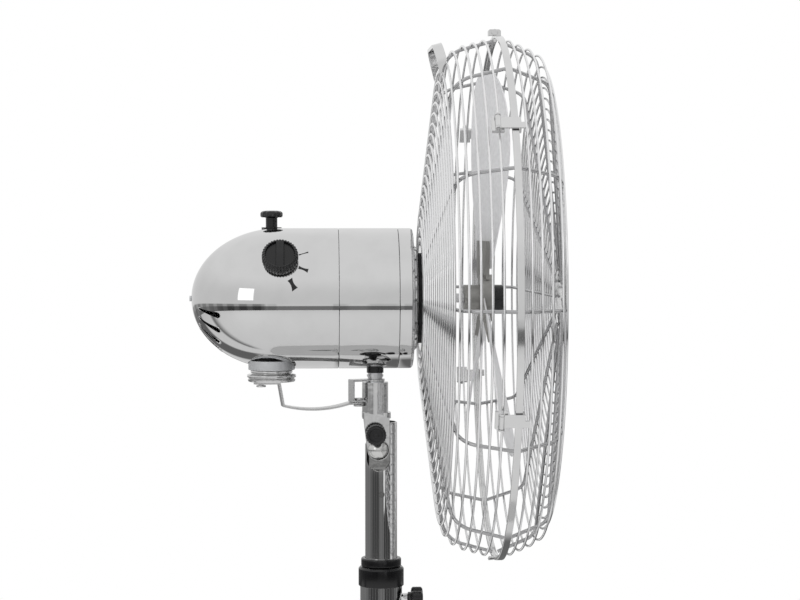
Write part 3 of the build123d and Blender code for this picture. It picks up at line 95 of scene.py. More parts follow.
@dataclass(frozen=True)
class Signal:
    """One shader socket, with Python's operators for Math nodes."""

    graph: Graph
    socket: bpy.types.NodeSocket

    def math(self, operation: str, *others: Signal | float) -> Signal:
        """Adds one Math node.

        Args:
            operation: the Math node's operation.
            others: the second and third inputs.

        Returns:
            The node's result.
        """
        inputs = dict(enumerate((self, *others)))
        node = self.graph.node("ShaderNodeMath", {"operation": operation}, inputs)
        return Signal(self.graph, node.outputs[0])

    def __add__(self, other: Signal | float) -> Signal:
        """self + other."""
        return self.math("ADD", other)

    __radd__ = __add__

    def __mul__(self, other: Signal | float) -> Signal:
        """self * other."""
        return self.math("MULTIPLY", other)

    __rmul__ = __mul__

    def __sub__(self, other: Signal | float) -> Signal:
        """self - other."""
        return self.math("SUBTRACT", other)

    def __rsub__(self, other: float) -> Signal:
        """other - self."""
        return (self * -1.0) + other

    def __truediv__(self, other: Signal | float) -> Signal:
        """self / other."""
        return self.math("DIVIDE", other)

    def step(self, low: float, high: float) -> Signal:
        """Smooth step from 0 at low to 1 at high.

        Args:
            low: where the step starts.
            high: where the step ends.

        Returns:
            A signal from 0 to 1.
        """
        settings = {"interpolation_type": "SMOOTHSTEP"}
        inputs = {"Value": self, "From Min": low, "From Max": high}
        node = self.graph.node("ShaderNodeMapRange", settings, inputs)
        return Signal(self.graph, node.outputs["Result"])

    def turn_step(self, low_deg: float, high_deg: float) -> Signal:
        """Smooth step of an angle, given in degrees."""
        return self.step(math.radians(low_deg), math.radians(high_deg))


class Graph:
    """The node tree of a material or world, built node by node."""

    def __init__(self, tree: bpy.types.NodeTree) -> None:
        """Starts from an empty tree."""
        self.tree = tree
        tree.nodes.clear()

    def feed(self, socket: bpy.types.NodeSocket, value: object) -> None:
        """Sets a socket, or links it.

        Args:
            socket: the input.
            value: a signal, another socket, or a plain value.
        """
        if isinstance(value, Signal):
            value = value.socket
        if isinstance(value, bpy.types.NodeSocket):
            self.tree.links.new(value, socket)
        else:
            socket.default_value = value

    def node(self, kind: str, settings: dict | None = None, inputs: dict | None = None) -> bpy.types.Node:
        """Adds one node.

        Args:
            kind: the node's type.
            settings: its properties, set first.
            inputs: values or links by socket name or number.

        Returns:
            The node.
        """
        node = self.tree.nodes.new(kind)
        for name, value in (settings or {}).items():
            setattr(node, name, value)
        for name, value in (inputs or {}).items():
            self.feed(node.inputs[name], value)
        return node

    def place(self) -> bpy.types.NodeSocket:
        """The point on the piece, in object coordinates."""
        return self.node("ShaderNodeTexCoord").outputs["Object"]

    def stretched(self, scale: Corner) -> bpy.types.NodeSocket:
        """Object coordinates stretched by a factor for each axis."""
        node = self.node("ShaderNodeMapping", None, {"Vector": self.place(), "Scale": scale})
        return node.outputs["Vector"]

    def noise(self, vector: bpy.types.NodeSocket, scale: float, detail: float) -> Signal:
        """A noise value about 0.5.

        Args:
            vector: the place.
            scale: bumps per metre.
            detail: number of octaves.

        Returns:
            The noise.
        """
        node = self.node("ShaderNodeTexNoise", None, {"Vector": vector, "Scale": scale, "Detail": detail})
        return Signal(self, node.outputs["Fac"])

    def parts(self, vector: bpy.types.NodeSocket) -> tuple[Signal, Signal, Signal]:
        """Splits a vector in its three parts."""
        node = self.node("ShaderNodeSeparateXYZ", None, {0: vector})
        return tuple(Signal(self, output) for output in node.outputs)

    def about_axis(self) -> tuple[Signal, Signal]:
        """The place along the fan axis, and the distance from it."""
        x, y, z = self.parts(self.place())
        rise = z - AXIS_HEIGHT * MM
        return x, (y * y + rise * rise).math("SQRT")

    def mix(self, factor: Signal, first: Corner, second: Corner) -> bpy.types.NodeSocket:
        """Mixes two colours.

        Args:
            factor: 0 for the first, 1 for the second.
            first: colour.
            second: colour.

        Returns:
            The mixed colour.
        """
        inputs = {"Factor": factor, 6: (*first, 1.0), 7: (*second, 1.0)}
        return self.node("ShaderNodeMix", {"data_type": "RGBA"}, inputs).outputs[2]

    def bump(self, height: Signal, distance: float, strength: float = 1.0) -> bpy.types.NodeSocket:
        """A bumped normal.

        Args:
            height: the height signal.
            distance: metres for a height of 1.
            strength: from 0 to 1.

        Returns:
            The normal.
        """
        inputs = {"Height": height, "Distance": distance, "Strength": strength}
        return self.node("ShaderNodeBump", None, inputs).outputs["Normal"]

    def glow(self, colour: tuple, strength: Signal | float) -> bpy.types.NodeSocket:
        """A shader that sends out light."""
        return self.node("ShaderNodeEmission", None, {"Color": colour, "Strength": strength}).outputs[0]

    def blend(self, factor: Signal, *shaders: bpy.types.NodeSocket) -> bpy.types.NodeSocket:
        """Mixes two shaders."""
        return self.node("ShaderNodeMixShader", None, dict(enumerate((factor, *shaders)))).outputs[0]

    def close(self, shader: bpy.types.NodeSocket, kind: str = "ShaderNodeOutputMaterial") -> None:
        """Links a shader to the tree's output."""
        self.node(kind, None, {"Surface": shader})


def new_material(name: str) -> tuple[bpy.types.Material, Graph]:
    """Makes a material with an empty node tree."""
    material = bpy.data.materials.new(name)
    material.use_nodes = True
    return material, Graph(material.node_tree)


@dataclass(frozen=True)
class Finish:
    """What every finish has: a name, a colour and a way to fill its shader."""

    name: str
    colour: Corner

    def material(self) -> bpy.types.Material:
        """Makes the material, or returns the one made before."""
        made = bpy.data.materials.get(self.name)
        if made is None:
            made, graph = new_material(self.name)
            graph.close(graph.node("ShaderNodeBsdfPrincipled", None, self.sockets(graph)).outputs[0])
            made.diffuse_color = (*self.colour, 1.0)
        return made

    def sockets(self, graph: Graph) -> dict[str, object]:
        """What goes in the shader's sockets; each finish has its own way."""
        raise NotImplementedError

    def shade(self, factor: float) -> Corner:
        """The colour made darker or lighter by a factor."""
        return tuple(min(1.0, channel * factor) for channel in self.colour)


@dataclass(frozen=True)
class PolishedChrome(Finish):
    """Mirror chrome with faint waves in the sheet and a little haze."""

    roughness: float = 0.035
    wave: float = 0.00004
    wave_scale: float = 9.0

    def sockets(self, graph: Graph) -> dict[str, object]:
        """The sockets for plated steel."""
        place = graph.place()
        haze = graph.noise(place, 55.0, 5.0)
        return {
            "Metallic": 1.0,
            "Base Color": graph.mix(haze.step(0.35, 0.75), self.colour, self.shade(0.96)),
            "Roughness": haze.step(0.45, 0.85) * 0.025 + self.roughness,
            "Normal": graph.bump(graph.noise(place, self.wave_scale, 2.0), self.wave),
        }


@dataclass(frozen=True)
class BrushedMetal(Finish):
    """Bare metal with fine lines from rolling, turning or brushing."""

    grain: Grain = Grain.NONE
    roughness: float = 0.28
    depth: float = 0.00004
    metallic: float = 1.0

    def sockets(self, graph: Graph) -> dict[str, object]:
        """The sockets for bare metal."""
        lines = self._lines(graph)
        cloud = graph.noise(graph.place(), 30.0, 3.0)
        worn = (lines * 0.6 + cloud * 0.4).step(0.3, 0.7)
        return {
            "Metallic": self.metallic,
            "Base Color": graph.mix(worn, self.shade(0.86), self.colour),
            "Roughness": lines * 0.16 + self.roughness - 0.06,
            "Normal": graph.bump(lines, self.depth, 0.5),
        }

    def _lines(self, graph: Graph) -> Signal:
        """The brushing as a noise stretched along the grain."""
        if self.grain is Grain.ROUND_X:
            x, radius = graph.about_axis()
            node = graph.node("ShaderNodeCombineXYZ", None, {"X": radius * 900.0, "Y": x * 30.0})
            return graph.noise(node.outputs[0], 1.0, 3.0)
        scale = (8.0, 1400.0, 1400.0) if self.grain is Grain.ALONG_X else (300.0, 300.0, 300.0)
        return graph.noise(graph.stretched(scale), 1.0, 3.0)


@dataclass(frozen=True)
class MouldedPlastic(Finish):
    """Moulded plastic with a fine spark-eroded grain and dust in it."""

    roughness: float = 0.26
    grain_scale: float = 2600.0
    grain_depth: float = 0.00002
    shine: float = 0.2

    def sockets(self, graph: Graph) -> dict[str, object]:
        """The sockets for plastic."""
        place = graph.place()
        grain, cloud = graph.noise(place, self.grain_scale, 2.0), graph.noise(place, 90.0, 5.0)
        return {
            "Base Color": graph.mix(cloud.step(0.5, 0.9), self.colour, self.shade(2.2)),
            "Roughness": grain * 0.12 + cloud * 0.1 + self.roughness - 0.1,
            "Normal": graph.bump(grain, self.grain_depth, 0.6),
            "Specular IOR Level": self.shine,
        }


@dataclass(frozen=True)
class SoftRubber(Finish):
    """Matt rubber, a little chalky."""

    def sockets(self, graph: Graph) -> dict[str, object]:
        """The sockets for rubber."""
        place = graph.place()
        grain, cloud = graph.noise(place, 1500.0, 3.0), graph.noise(place, 120.0, 5.0)
        return {
            "Base Color": graph.mix(cloud.step(0.4, 0.9), self.colour, self.shade(2.6)),
            "Roughness": grain * 0.15 + 0.66,
            "Normal": graph.bump(grain, 0.00006, 0.6),
        }


@dataclass(frozen=True)
class CastMetal(Finish):
    """Cast metal with an orange-peel skin."""

    roughness: float = 0.5
    metallic: float = 1.0

    def sockets(self, graph: Graph) -> dict[str, object]:
        """The sockets for castings."""
        place = graph.place()
        peel, cloud = graph.noise(place, 700.0, 4.0), graph.noise(place, 60.0, 4.0)
        return {
            "Metallic": self.metallic,
            "Base Color": graph.mix(cloud.step(0.3, 0.8), self.colour, self.shade(0.75)),
            "Roughness": peel * 0.2 + self.roughness - 0.1,
            "Normal": graph.bump(peel, 0.0002, 0.6),
        }


@dataclass(frozen=True)
class VarnishedWire(Finish):
    """Enamelled copper wire, wound close about the fan axis, with painted shade in the grooves between the
    turns.
    """

    def sockets(self, graph: Graph) -> dict[str, object]:
        """The sockets for the winding."""
        _, radius = graph.about_axis()
        turns = (radius * 7000.0).math("SINE") * 0.5 + 0.5
        return {
            "Metallic": 0.85,
            # Painted shade: the colour darkens in the grooves between the turns, where the bump is low.
            "Base Color": graph.mix(turns, self.shade(0.55), self.colour),
            "Roughness": turns * -0.1 + 0.42,
            "Normal": graph.bump(turns, 0.0002, 0.8),
        }


CHROME = PolishedChrome("mirror_chrome", (0.62, 0.62, 0.62))
SHEET_CHROME = PolishedChrome("mirror_chrome_sheet", (0.60, 0.60, 0.60), wave=0.00006, wave_scale=7.0)
BALL_CHROME = PolishedChrome("satin_chrome", (0.60, 0.60, 0.59), 0.2, 0.00002)
# The guard's rings and ribs are one plated wire: the rings get a lighter copy as painted light, the ribs a
# darker copy as painted shade.
LIT_RING_CHROME = PolishedChrome("plated_ring_wire_painted_light", (0.76, 0.76, 0.765), 0.08, 0.00002, 60.0)
SHADED_RIB_CHROME = PolishedChrome("plated_rib_wire_painted_shade", (0.42, 0.42, 0.425), 0.08, 0.00002, 60.0)
BAND_CHROME = PolishedChrome("plated_strip", (0.64, 0.64, 0.64), 0.09, 0.00005, 30.0)
CAST_CHROME = PolishedChrome("plated_casting", (0.60, 0.60, 0.60), 0.07, 0.00012, 90.0)
# A darker copy of the plated chrome: painted shade on the tang where it sits in the pole's recess.
SHADED_TANG_CHROME = PolishedChrome("plated_tang_painted_shade", (0.38, 0.38, 0.375), 0.1, 0.0001, 90.0)
DULL_STEEL = BrushedMetal("zinc_plated_steel", (0.60, 0.61, 0.62), roughness=0.3)
TURNED_STEEL = BrushedMetal("turned_steel", (0.62, 0.62, 0.63), Grain.ROUND_X, 0.3)
ROLLED_STEEL = BrushedMetal("rolled_steel_strip", (0.60, 0.60, 0.60), Grain.ALONG_X, 0.26)
BLADE_METAL = BrushedMetal("blade_sheet", (0.86, 0.86, 0.87), Grain.NONE, 0.4, 0.00001, 0.5)
BRONZE = BrushedMetal("sintered_bronze", (0.52, 0.36, 0.17), roughness=0.42)
HUB_METAL = CastMetal("hub_casting", (0.34, 0.335, 0.32), 0.42, 0.8)
GEARBOX_METAL = CastMetal("gearbox_casting", (0.58, 0.59, 0.60))
IRON = CastMetal("painted_iron", (0.05, 0.05, 0.053), 0.6, 0.2)
BLACK_PLASTIC = MouldedPlastic("moulded_black", (0.006, 0.006, 0.0065), 0.22, shine=0.4)
GLOSS_BLACK = MouldedPlastic(
    "gloss_black_plastic", (0.003, 0.003, 0.0035), 0.13, grain_depth=0.000006, shine=0.4
)
PALE_NYLON = MouldedPlastic("pale_nylon", (0.62, 0.61, 0.57), 0.45)
BLACK_RUBBER = SoftRubber("matt_black_rubber", (0.020, 0.020, 0.021))
COPPER = VarnishedWire("copper_winding", (0.55, 0.25, 0.11))

LATCHES = tuple(f"rim_latch_{number}" for number in range(1, 5))

NODE_FINISHES: dict[Finish, tuple[str, ...]] = {
    CHROME: ("outer_pole", "inner_pole", "pole_flange"),
    BALL_CHROME: ("pivot_bolt",),
    SHEET_CHROME: ("base_cover", "rear_housing", "middle_housing", "front_cover", "crank_bell"),
    LIT_RING_CHROME: ("rear_guard_rings", "front_guard_rings"),
    SHADED_RIB_CHROME: ("rear_guard_ribs", "front_guard_ribs"),
    BAND_CHROME: (
        "rear_guard_plate", "front_disc", "rim_band", "rim_clamp", "carry_handle", "latch_hinges", *LATCHES,
    ),
    CAST_CHROME: ("tilt_bracket",),
    SHADED_TANG_CHROME: ("pole_tang",),
    DULL_STEEL: (
        "base_bolt", "motor_tie_rods", "stator_core", "tail_screw", "gear_shaft", "crank_gear", "neck_bush",
    ),
    TURNED_STEEL: ("rotor_shaft", "neck_spindle"),
    ROLLED_STEEL: ("swing_link", "swing_ear"),
    BLADE_METAL: ("fan_blades",),
    HUB_METAL: ("blade_hub",),
    GEARBOX_METAL: ("gear_case", "motor_rear_plate"),
    IRON: ("base_weight", "pole_plug"),
    BRONZE: ("shaft_bushes",),
    BLACK_PLASTIC: (
        "height_collar", "height_knob", "tilt_knob", "speed_dial", "speed_switch", "pull_knob",
        "pull_collar", "guard_nut", "spinner",
    ),
    GLOSS_BLACK: ("neck_stub",),
    PALE_NYLON: ("pole_bush", "pole_end_bush", "worm_wheel"),
    BLACK_RUBBER: ("rubber_feet", "cable_gland", "guard_gasket"),
    COPPER: ("stator_coils",),
}


@dataclass
class Camera:
    """The camera where the photograph was taken."""

    place_mm: Corner = (-69.96, -1917.9, 1025.2)
    yaw_deg: float = 2.585
    pitch_deg: float = 2.89
    focal_px: float = 2195.6
    frame_px: float = 800.0
    sensor_mm: float = 36.0
    clip_m: Point = (0.05, 100.0)

    def build(self) -> None:
        """Makes the camera and gives it to the scene."""
        data = bpy.data.cameras.new("camera")
        data.sensor_fit = "HORIZONTAL"
        data.sensor_width = self.sensor_mm
        data.lens = self.sensor_mm * self.focal_px / self.frame_px
        data.clip_start, data.clip_end = self.clip_m
        camera = linked("camera", data)
        camera.location = Vector(self.place_mm) * MM
        turn = Matrix.Rotation(-math.radians(self.yaw_deg), 4, "Z")
        nod = Matrix.Rotation(math.radians(90.0 - self.pitch_deg), 4, "X")
        camera.rotation_euler = (turn @ nod).to_euler()
        bpy.context.scene.camera = camera


@dataclass
class Studio:
    """Floor, reflecting screen, lamps and world, in metres, degrees and parts of white.

    A pair is where a soft edge starts and ends. A window is its heading, its half width as a part of
    a radian, and its height and half height. A lamp is its name, place, power and size.
    """

    floor_radius: float = 9.0
    floor_drop: float = 0.0004
    floor_grey: float = 0.86
    floor_fade: Point = (1.0, 2.6)
    stripe_fade: Point = (0.25, 0.5)
    stripe_side: Point = (80.0, 95.0)
    stripe_depth: float = 0.8
    screen_radius: float = 3.2
    screen_low: float = -0.4
    screen_high: float = 3.6
    rim_steps: int = 96
    posts_start: Point = (-72.0, -62.0)
    posts_end: Point = (50.0, 70.0)
    posts_top: Point = (1.5, 2.0)
    post_count: float = 6.0
    post_phase: float = 0.4
    post_soft: Point = (0.2, 0.0)
    post_depth: float = 0.6
    stave_count: float = 23.0
    stave_phase: float = 0.8
    front_half: Point = (14.0, 19.0)
    flank_turn: Point = (55.0, 100.0)
    waist: Point = (0.36, 0.41)
    brow: Point = (0.54, 0.62)
    sky: Point = (1.0, 3.4)
    dark_levels: tuple[float, float, float, float] = (0.06, 0.06, 0.14, 0.12)
    middle_levels: Corner = (0.30, 0.16, 0.4)
    pale_levels: Point = (0.84, 0.16)
    window_edge: Point = (0.012, 0.04)
    windows: tuple[tuple[float, float, float, float], ...] = (
        (-128.0, 0.15, 1.42, 0.5), (-62.0, 0.13, 2.3, 0.4), (-69.0, 0.08, 0.335, 0.07),
    )
    fill_level: float = 0.85
    aim: Corner = (0.0, 0.0, 0.9)
    lamps: tuple[tuple[str, Corner, float, float], ...] = (
        ("key_lamp", (-1.7, -2.2, 2.6), 26.0, 1.4),
        ("fill_lamp", (2.2, -1.6, 2.2), 13.0, 1.6),
    )

    def build(self) -> None:
        """Makes the whole studio."""
        self._world()
        self._floor()
        self._screen()
        self._lamps()

    def _world(self) -> None:
        """White to the camera, a plain level for the light."""
        world = bpy.data.worlds.new("studio")
        bpy.context.scene.world = world
        world.use_nodes = True
        graph = Graph(world.node_tree)
        path = graph.node("ShaderNodeLightPath")
        seen = Signal(graph, path.outputs["Is Camera Ray"])
        shiny = Signal(graph, path.outputs["Is Glossy Ray"])
        clear = Signal(graph, path.outputs["Is Transmission Ray"])
        bare = (seen + shiny + clear).math("MINIMUM", 1.0)
        strength = bare + (1.0 - bare) * self.fill_level
        shader = graph.node("ShaderNodeBackground", None, {"Color": WHITE, "Strength": strength})
        graph.close(shader.outputs[0], "ShaderNodeOutputWorld")

    def _posts(self, turn: Signal, high: float) -> Signal:
        """Even dark posts round the studio.

        Args:
            turn: the angle about the pole.
            high: where the soft edge of a post ends.

        Returns:
            1 in a post, 0 between them.
        """
        return (turn * self.post_count + self.post_phase).math("SINE").step(-0.5, high)

    def _floor(self) -> None:
        """Pale round floor that fades into the white, with stripes that only mirrors see."""
        mesh = bmesh.new()
        bmesh.ops.create_circle(mesh, cap_ends=True, segments=self.rim_steps, radius=self.floor_radius)
        floor = as_object(mesh, "studio_floor")
        material, graph = new_material("studio_floor")
        x, y, _ = graph.parts(graph.place())
        reach = (x * x + y * y).math("SQRT")
        away = reach.step(*self.floor_fade)
        path = graph.node("ShaderNodeLightPath")
        seen = Signal(graph, path.outputs["Is Camera Ray"])
        shiny = Signal(graph, path.outputs["Is Glossy Ray"])
        beside = (y / (reach * -1.0 - MM)).math("ARCCOSINE").turn_step(*self.stripe_side)
        posts = self._posts(y.math("ARCTAN2", x), self.post_soft[0])
        stripes = beside * reach.step(*self.stripe_fade) * posts
        grey = (self.floor_grey, self.floor_grey, self.floor_grey, 1.0)
        matt = graph.node("ShaderNodeBsdfDiffuse", None, {"Color": grey}).outputs[0]
        striped = graph.blend(shiny * stripes * self.stripe_depth, matt, graph.glow(BLACK, 0.0))
        graph.close(graph.blend(away * seen, striped, graph.glow(WHITE, 1.0)))
        floor.data.materials.append(material)
        floor.location.z = -self.floor_drop

    def _screen_level(self, graph: Graph) -> Signal:
        """Brightness of the screen: dark low down, pale above, with posts and windows."""
        x, y, z = graph.parts(graph.place())
        turn = y.math("ARCTAN2", x)
        aside = (y / -self.screen_radius).math("ARCCOSINE")
        narrow = (turn * self.stave_count + self.stave_phase).math("SINE").step(-0.2, 0.8)
        front = 1.0 - aside.turn_step(*self.front_half)
        flank = aside.turn_step(*self.flank_turn)
        base, stave, side, ahead = self.dark_levels
        dark = base + narrow * stave + flank * side + front * ahead
        base, stave, ahead = self.middle_levels
        middle = base + narrow * stave + front * ahead
        away = turn.turn_step(*self.posts_start) * (1.0 - turn.turn_step(*self.posts_end))
        posts = away * self._posts(turn, self.post_soft[1]) * (1.0 - z.step(*self.posts_top))
        base, rise = self.pale_levels
        pale = (base + z.step(*self.sky) * rise) * (1.0 - posts * self.post_depth)
        waist, brow = z.step(*self.waist), z.step(*self.brow)
        level = dark * (1.0 - waist) + middle * (waist - brow) + pale * brow
        side, end = self.window_edge
        for heading, half_turn, height, half_height in self.windows:
            across = (turn - math.radians(heading)).math("ABSOLUTE").step(half_turn, half_turn + side)
            along = (z - height).math("ABSOLUTE").step(half_height, half_height + end)
            level = level + (1.0 - across) * (1.0 - along)
        return level

    def _screen(self) -> None:
        """Round screen seen only in reflections."""
        mesh = bmesh.new()
        bmesh.ops.create_cone(
            mesh, cap_ends=False, segments=self.rim_steps, radius1=self.screen_radius,
            radius2=self.screen_radius, depth=self.screen_high - self.screen_low,
        )
        middle = (self.screen_high + self.screen_low) / 2
        bmesh.ops.translate(mesh, verts=mesh.verts, vec=(0.0, 0.0, middle))
        screen = as_object(mesh, "studio_screen")
        material, graph = new_material("studio_screen")
        graph.close(graph.glow(WHITE, self._screen_level(graph)))
        screen.data.materials.append(material)
        screen.visible_camera = screen.visible_diffuse = screen.visible_shadow = False
        screen.visible_transmission = screen.visible_volume_scatter = False

    def _lamps(self) -> None:
        """Two large soft lamps, above the left and the right of the camera."""
        for name, place, power, size in self.lamps:
            data = bpy.data.lights.new(name, "AREA")
            data.energy, data.size = power, size
            lamp = linked(name, data)
            lamp.location = place
            lamp.rotation_euler = (Vector(self.aim) - Vector(place)).to_track_quat("-Z", "Y").to_euler()
            lamp.visible_glossy = False


def rounded(corners: Sequence[Corner], steps: int = FILLET_STEPS) -> list[Point]:
    """Rounds the corners of an outline.

    Args:
        corners: (radius, height, fillet) for each corner.
        steps: number of edges in each fillet.

    Returns:
        The outline's points as (radius, height).
    """
    points: list[Point] = []
    for index, (across, along, fillet) in enumerate(corners):
        if fillet <= 0 or index in (0, len(corners) - 1):
            points.append((across, along))
            continue
        here = Vector((across, along))
        back = Vector(corners[index - 1][:2]) - here
        ahead = Vector(corners[index + 1][:2]) - here
        reach = fillet / math.tan(back.angle(ahead) / 2)
        reach = min(reach, back.length * 0.49, ahead.length * 0.49)
        start, end = here + back.normalized() * reach, here + ahead.normalized() * reach
        for k in range(steps + 1):
            t = k / steps
            point = start * (1 - t) ** 2 + here * (2 * t * (1 - t)) + end * t**2
            points.append((point.x, point.y))
    return points


def raised(profile: Sequence[Corner], height: float) -> list[Corner]:
    """A profile moved along its axis."""
    return [(across, height + along, fillet) for across, along, fillet in profile]


def along_x(x: float = 0.0, y: float = 0.0, z: float = 0.0) -> Matrix:
    """A frame whose Z axis points along the fan axis, at a place."""
    return Matrix.Translation((x, y, z)) @ Matrix.Rotation(math.pi / 2, 4, "Y")


def towards_viewer(x: float = 0.0, y: float = 0.0, z: float = 0.0) -> Matrix:
    """A frame whose Z axis points to the dial's side of the fan, at a place."""
    return Matrix.Translation((x, y, z)) @ Matrix.Rotation(math.pi / 2, 4, "X")


def upright(x: float = 0.0, y: float = 0.0, z: float = 0.0) -> Matrix:
    """A frame with its Z axis up, at a place."""
    return Matrix.Translation((x, y, z))


def linked(name: str, data: bpy.types.ID) -> bpy.types.Object:
    """Makes an object of its data and puts it in the scene."""
    made = bpy.data.objects.new(name, data)
    bpy.context.scene.collection.objects.link(made)
    return made


def meshed(name: str, mesh: bmesh.types.BMesh) -> bpy.types.Object:
    """Makes an object of a copy of a bmesh."""
    data = bpy.data.meshes.new(name)
    mesh.to_mesh(data)
    return linked(name, data)


class Shape:
    """A mesh in the making, in millimetres from the fan axis over the pole."""

    def __init__(self) -> None:
        """Starts empty."""
        self.mesh = bmesh.new()

    def _since(self, before: set) -> list[bmesh.types.BMVert]:
        """The vertices added since a moment."""
        return [vert for vert in self.mesh.verts if vert not in before]

    def _place(self, before: set, frame: Matrix | None) -> Shape:
        """Moves what was added since a moment by a frame."""
        bmesh.ops.transform(self.mesh, matrix=frame or upright(), verts=self._since(before))
        return self

    def turned(
        self, outline: Sequence[Point], frame: Matrix | None = None, steps: int = 96, closed: bool = False,
    ) -> Shape:
        """Adds a solid of revolution about the frame's Z axis.

        Args:
            outline: (radius, height) points.
            frame: where it goes.
            steps: facets round the axis.
            closed: whether the last point joins the first.

        Returns:
            This shape.
        """
        before = set(self.mesh.verts)
        verts = [self.mesh.verts.new((radius, 0.0, height)) for radius, height in outline]
        pairs = list(zip(verts, verts[1:]))
        if closed:
            pairs.append((verts[-1], verts[0]))
        edges = [self.mesh.edges.new(pair) for pair in pairs]
        bmesh.ops.spin(
            self.mesh, geom=verts + edges, cent=(0, 0, 0), axis=(0, 0, 1),
            angle=2 * math.pi, steps=steps, use_merge=True,
        )
        bmesh.ops.remove_doubles(self.mesh, verts=self._since(before), dist=MERGE_MM)
        return self._place(before, frame)

    def rod(
        self, radius: float, low: float, high: float, frame: Matrix | None = None, fillet: float = 0.4,
        steps: int = ROD_STEPS,
    ) -> None:
        """Adds a cylinder with rounded edges along the frame's Z axis.

        Args:
            radius: its radius.
            low: where it starts.
            high: where it ends.
            frame: where it goes.
            fillet: radius of its edges.
            steps: facets round the axis.
        """
        corners = ((0, low, 0), (radius, low, fillet), (radius, high, fillet), (0, high, 0))
        self.turned(rounded(corners, 3), frame, steps)

    def block(self, low: Corner, high: Corner, frame: Matrix | None = None, fillet: float = 0.0) -> Shape:
        """Adds a box with rounded edges.

        Args:
            low: its lowest corner in the frame.
            high: its highest corner.
            frame: where it goes.
            fillet: radius of its edges.

        Returns:
            This shape.
        """
        before = set(self.mesh.verts)
        size, middle = Vector(high) - Vector(low), (Vector(high) + Vector(low)) / 2
        place = Matrix.Translation(middle) @ Matrix.Diagonal((*size, 1.0))
        bmesh.ops.create_cube(self.mesh, size=1.0, matrix=place)
        if fillet > 0:
            new = set(self._since(before))
            edges = [edge for edge in self.mesh.edges if edge.verts[0] in new]
            bmesh.ops.bevel(
                self.mesh, geom=edges, offset=fillet, segments=3, profile=0.5, affect="EDGES",
                material=-1, clamp_overlap=True,
            )
        return self._place(before, frame)

    def ridged(
        self, radius: float, levels: Sequence[Point], ridges: int, depth: float, facets: int,
        sharpness: float, frame: Matrix,
    ) -> Shape:
        """Adds a disc about Z with ridges round its edge.

        Args:
            radius: over the ridges.
            levels: (height, inset) from the bottom to the top.
            ridges: how many.
            depth: of the flutes between them.
            facets: edges for each ridge.
            sharpness: over 1 makes the ridges wide and the flutes narrow.
            frame: where it goes.

        Returns:
            This shape.
        """
        before = set(self.mesh.verts)
        made = bmesh.ops.create_circle(self.mesh, cap_ends=True, radius=radius, segments=ridges * facets)
        for vert in made["verts"]:
            turn = math.atan2(vert.co.y, vert.co.x)
            dip = depth * (0.5 - 0.5 * math.cos(ridges * turn)) ** sharpness
            factor = (radius - dip - levels[0][1]) / radius
            vert.co = Vector((vert.co.x * factor, vert.co.y * factor, levels[0][0]))
        face = made["verts"][0].link_faces[0]
        for (_, inset), (height, next_inset) in zip(levels, levels[1:]):
            grown = bmesh.ops.extrude_face_region(self.mesh, geom=[face], use_keep_orig=True)
            face = next(item for item in grown["geom"] if isinstance(item, bmesh.types.BMFace))
            factor = (radius - next_inset) / (radius - inset)
            for vert in face.verts:
                vert.co = Vector((vert.co.x * factor, vert.co.y * factor, height))
        self._drop_inner_faces(before, [height for height, _ in levels[1:-1]])
        return self._place(before, frame)

    def _drop_inner_faces(self, before: set, heights: Sequence[float]) -> None:
        """Deletes the caps left at heights inside a disc."""
        inner = [
            face for face in self.mesh.faces
            if face.verts[0] not in before and len(face.verts) > 4
            and any(abs(face.calc_center_median().z - height) < MERGE_MM for height in heights)
        ]
        bmesh.ops.delete(self.mesh, geom=inner, context="FACES_ONLY")

    def piped(self, points: Sequence[Vector], radius: float) -> None:
        """Adds a closed round wire along points.

        Args:
            points: its centre line.
            radius: of the wire.
        """
        curve = bpy.data.curves.new("wire", "CURVE")
        curve.dimensions = "3D"
        curve.bevel_depth = radius
        curve.bevel_resolution = 2
        curve.use_fill_caps = False
        spline = curve.splines.new("POLY")
        spline.points.add(len(points) - 1)
        for spot, point in zip(spline.points, points):
            spot.co = (*point, 1.0)
        spline.use_cyclic_u = True
        line = bpy.data.objects.new("wire", curve)
        data = bpy.data.meshes.new_from_object(line)
        self.mesh.from_mesh(data)
        bpy.data.objects.remove(line)
        bpy.data.curves.remove(curve)
        bpy.data.meshes.remove(data)

    def _loose(self, name: str) -> bpy.types.Object:
        """A copy of the shape as an object of its own."""
        bmesh.ops.recalc_face_normals(self.mesh, faces=self.mesh.faces)
        return meshed(name, self.mesh)

    def carve(self, *tools: Shape) -> None:
        """Cuts other shapes out of this one.

        Args:
            tools: closed shapes, each cut in turn.
        """
        whole = self._loose("carved")
        cutters = [tool._loose("tool") for tool in tools]
        for cutter in cutters:
            cut = whole.modifiers.new("cut", "BOOLEAN")
            cut.operation = "DIFFERENCE"
            cut.solver = "EXACT"
            cut.object = cutter
        depsgraph = bpy.context.evaluated_depsgraph_get()
        data = bpy.data.meshes.new_from_object(whole.evaluated_get(depsgraph))
        self.mesh.clear()
        self.mesh.from_mesh(data)
        bpy.data.meshes.remove(data)
        for used in (whole, *cutters):
            old = used.data
            bpy.data.objects.remove(used)
            bpy.data.meshes.remove(old)
        for tool in tools:
            tool.mesh.free()

    def done(self, name: str, finish: Finish, body: str, slot: str, *replaces: str) -> None:
        """Makes the shape a piece of the fan.

        Args:
            name: the piece's name.
            finish: its finish.
            body: the moving body that it rides on.
            slot: its material slot in the record.
            replaces: CAD nodes that it stands for.
        """
        bmesh.ops.translate(self.mesh, verts=self.mesh.verts, vec=(0, 0, AXIS_HEIGHT))
        bmesh.ops.scale(self.mesh, verts=self.mesh.verts, vec=(MM, MM, MM))
        adopt(as_object(self.mesh, name), finish.material(), body, slot, *replaces)


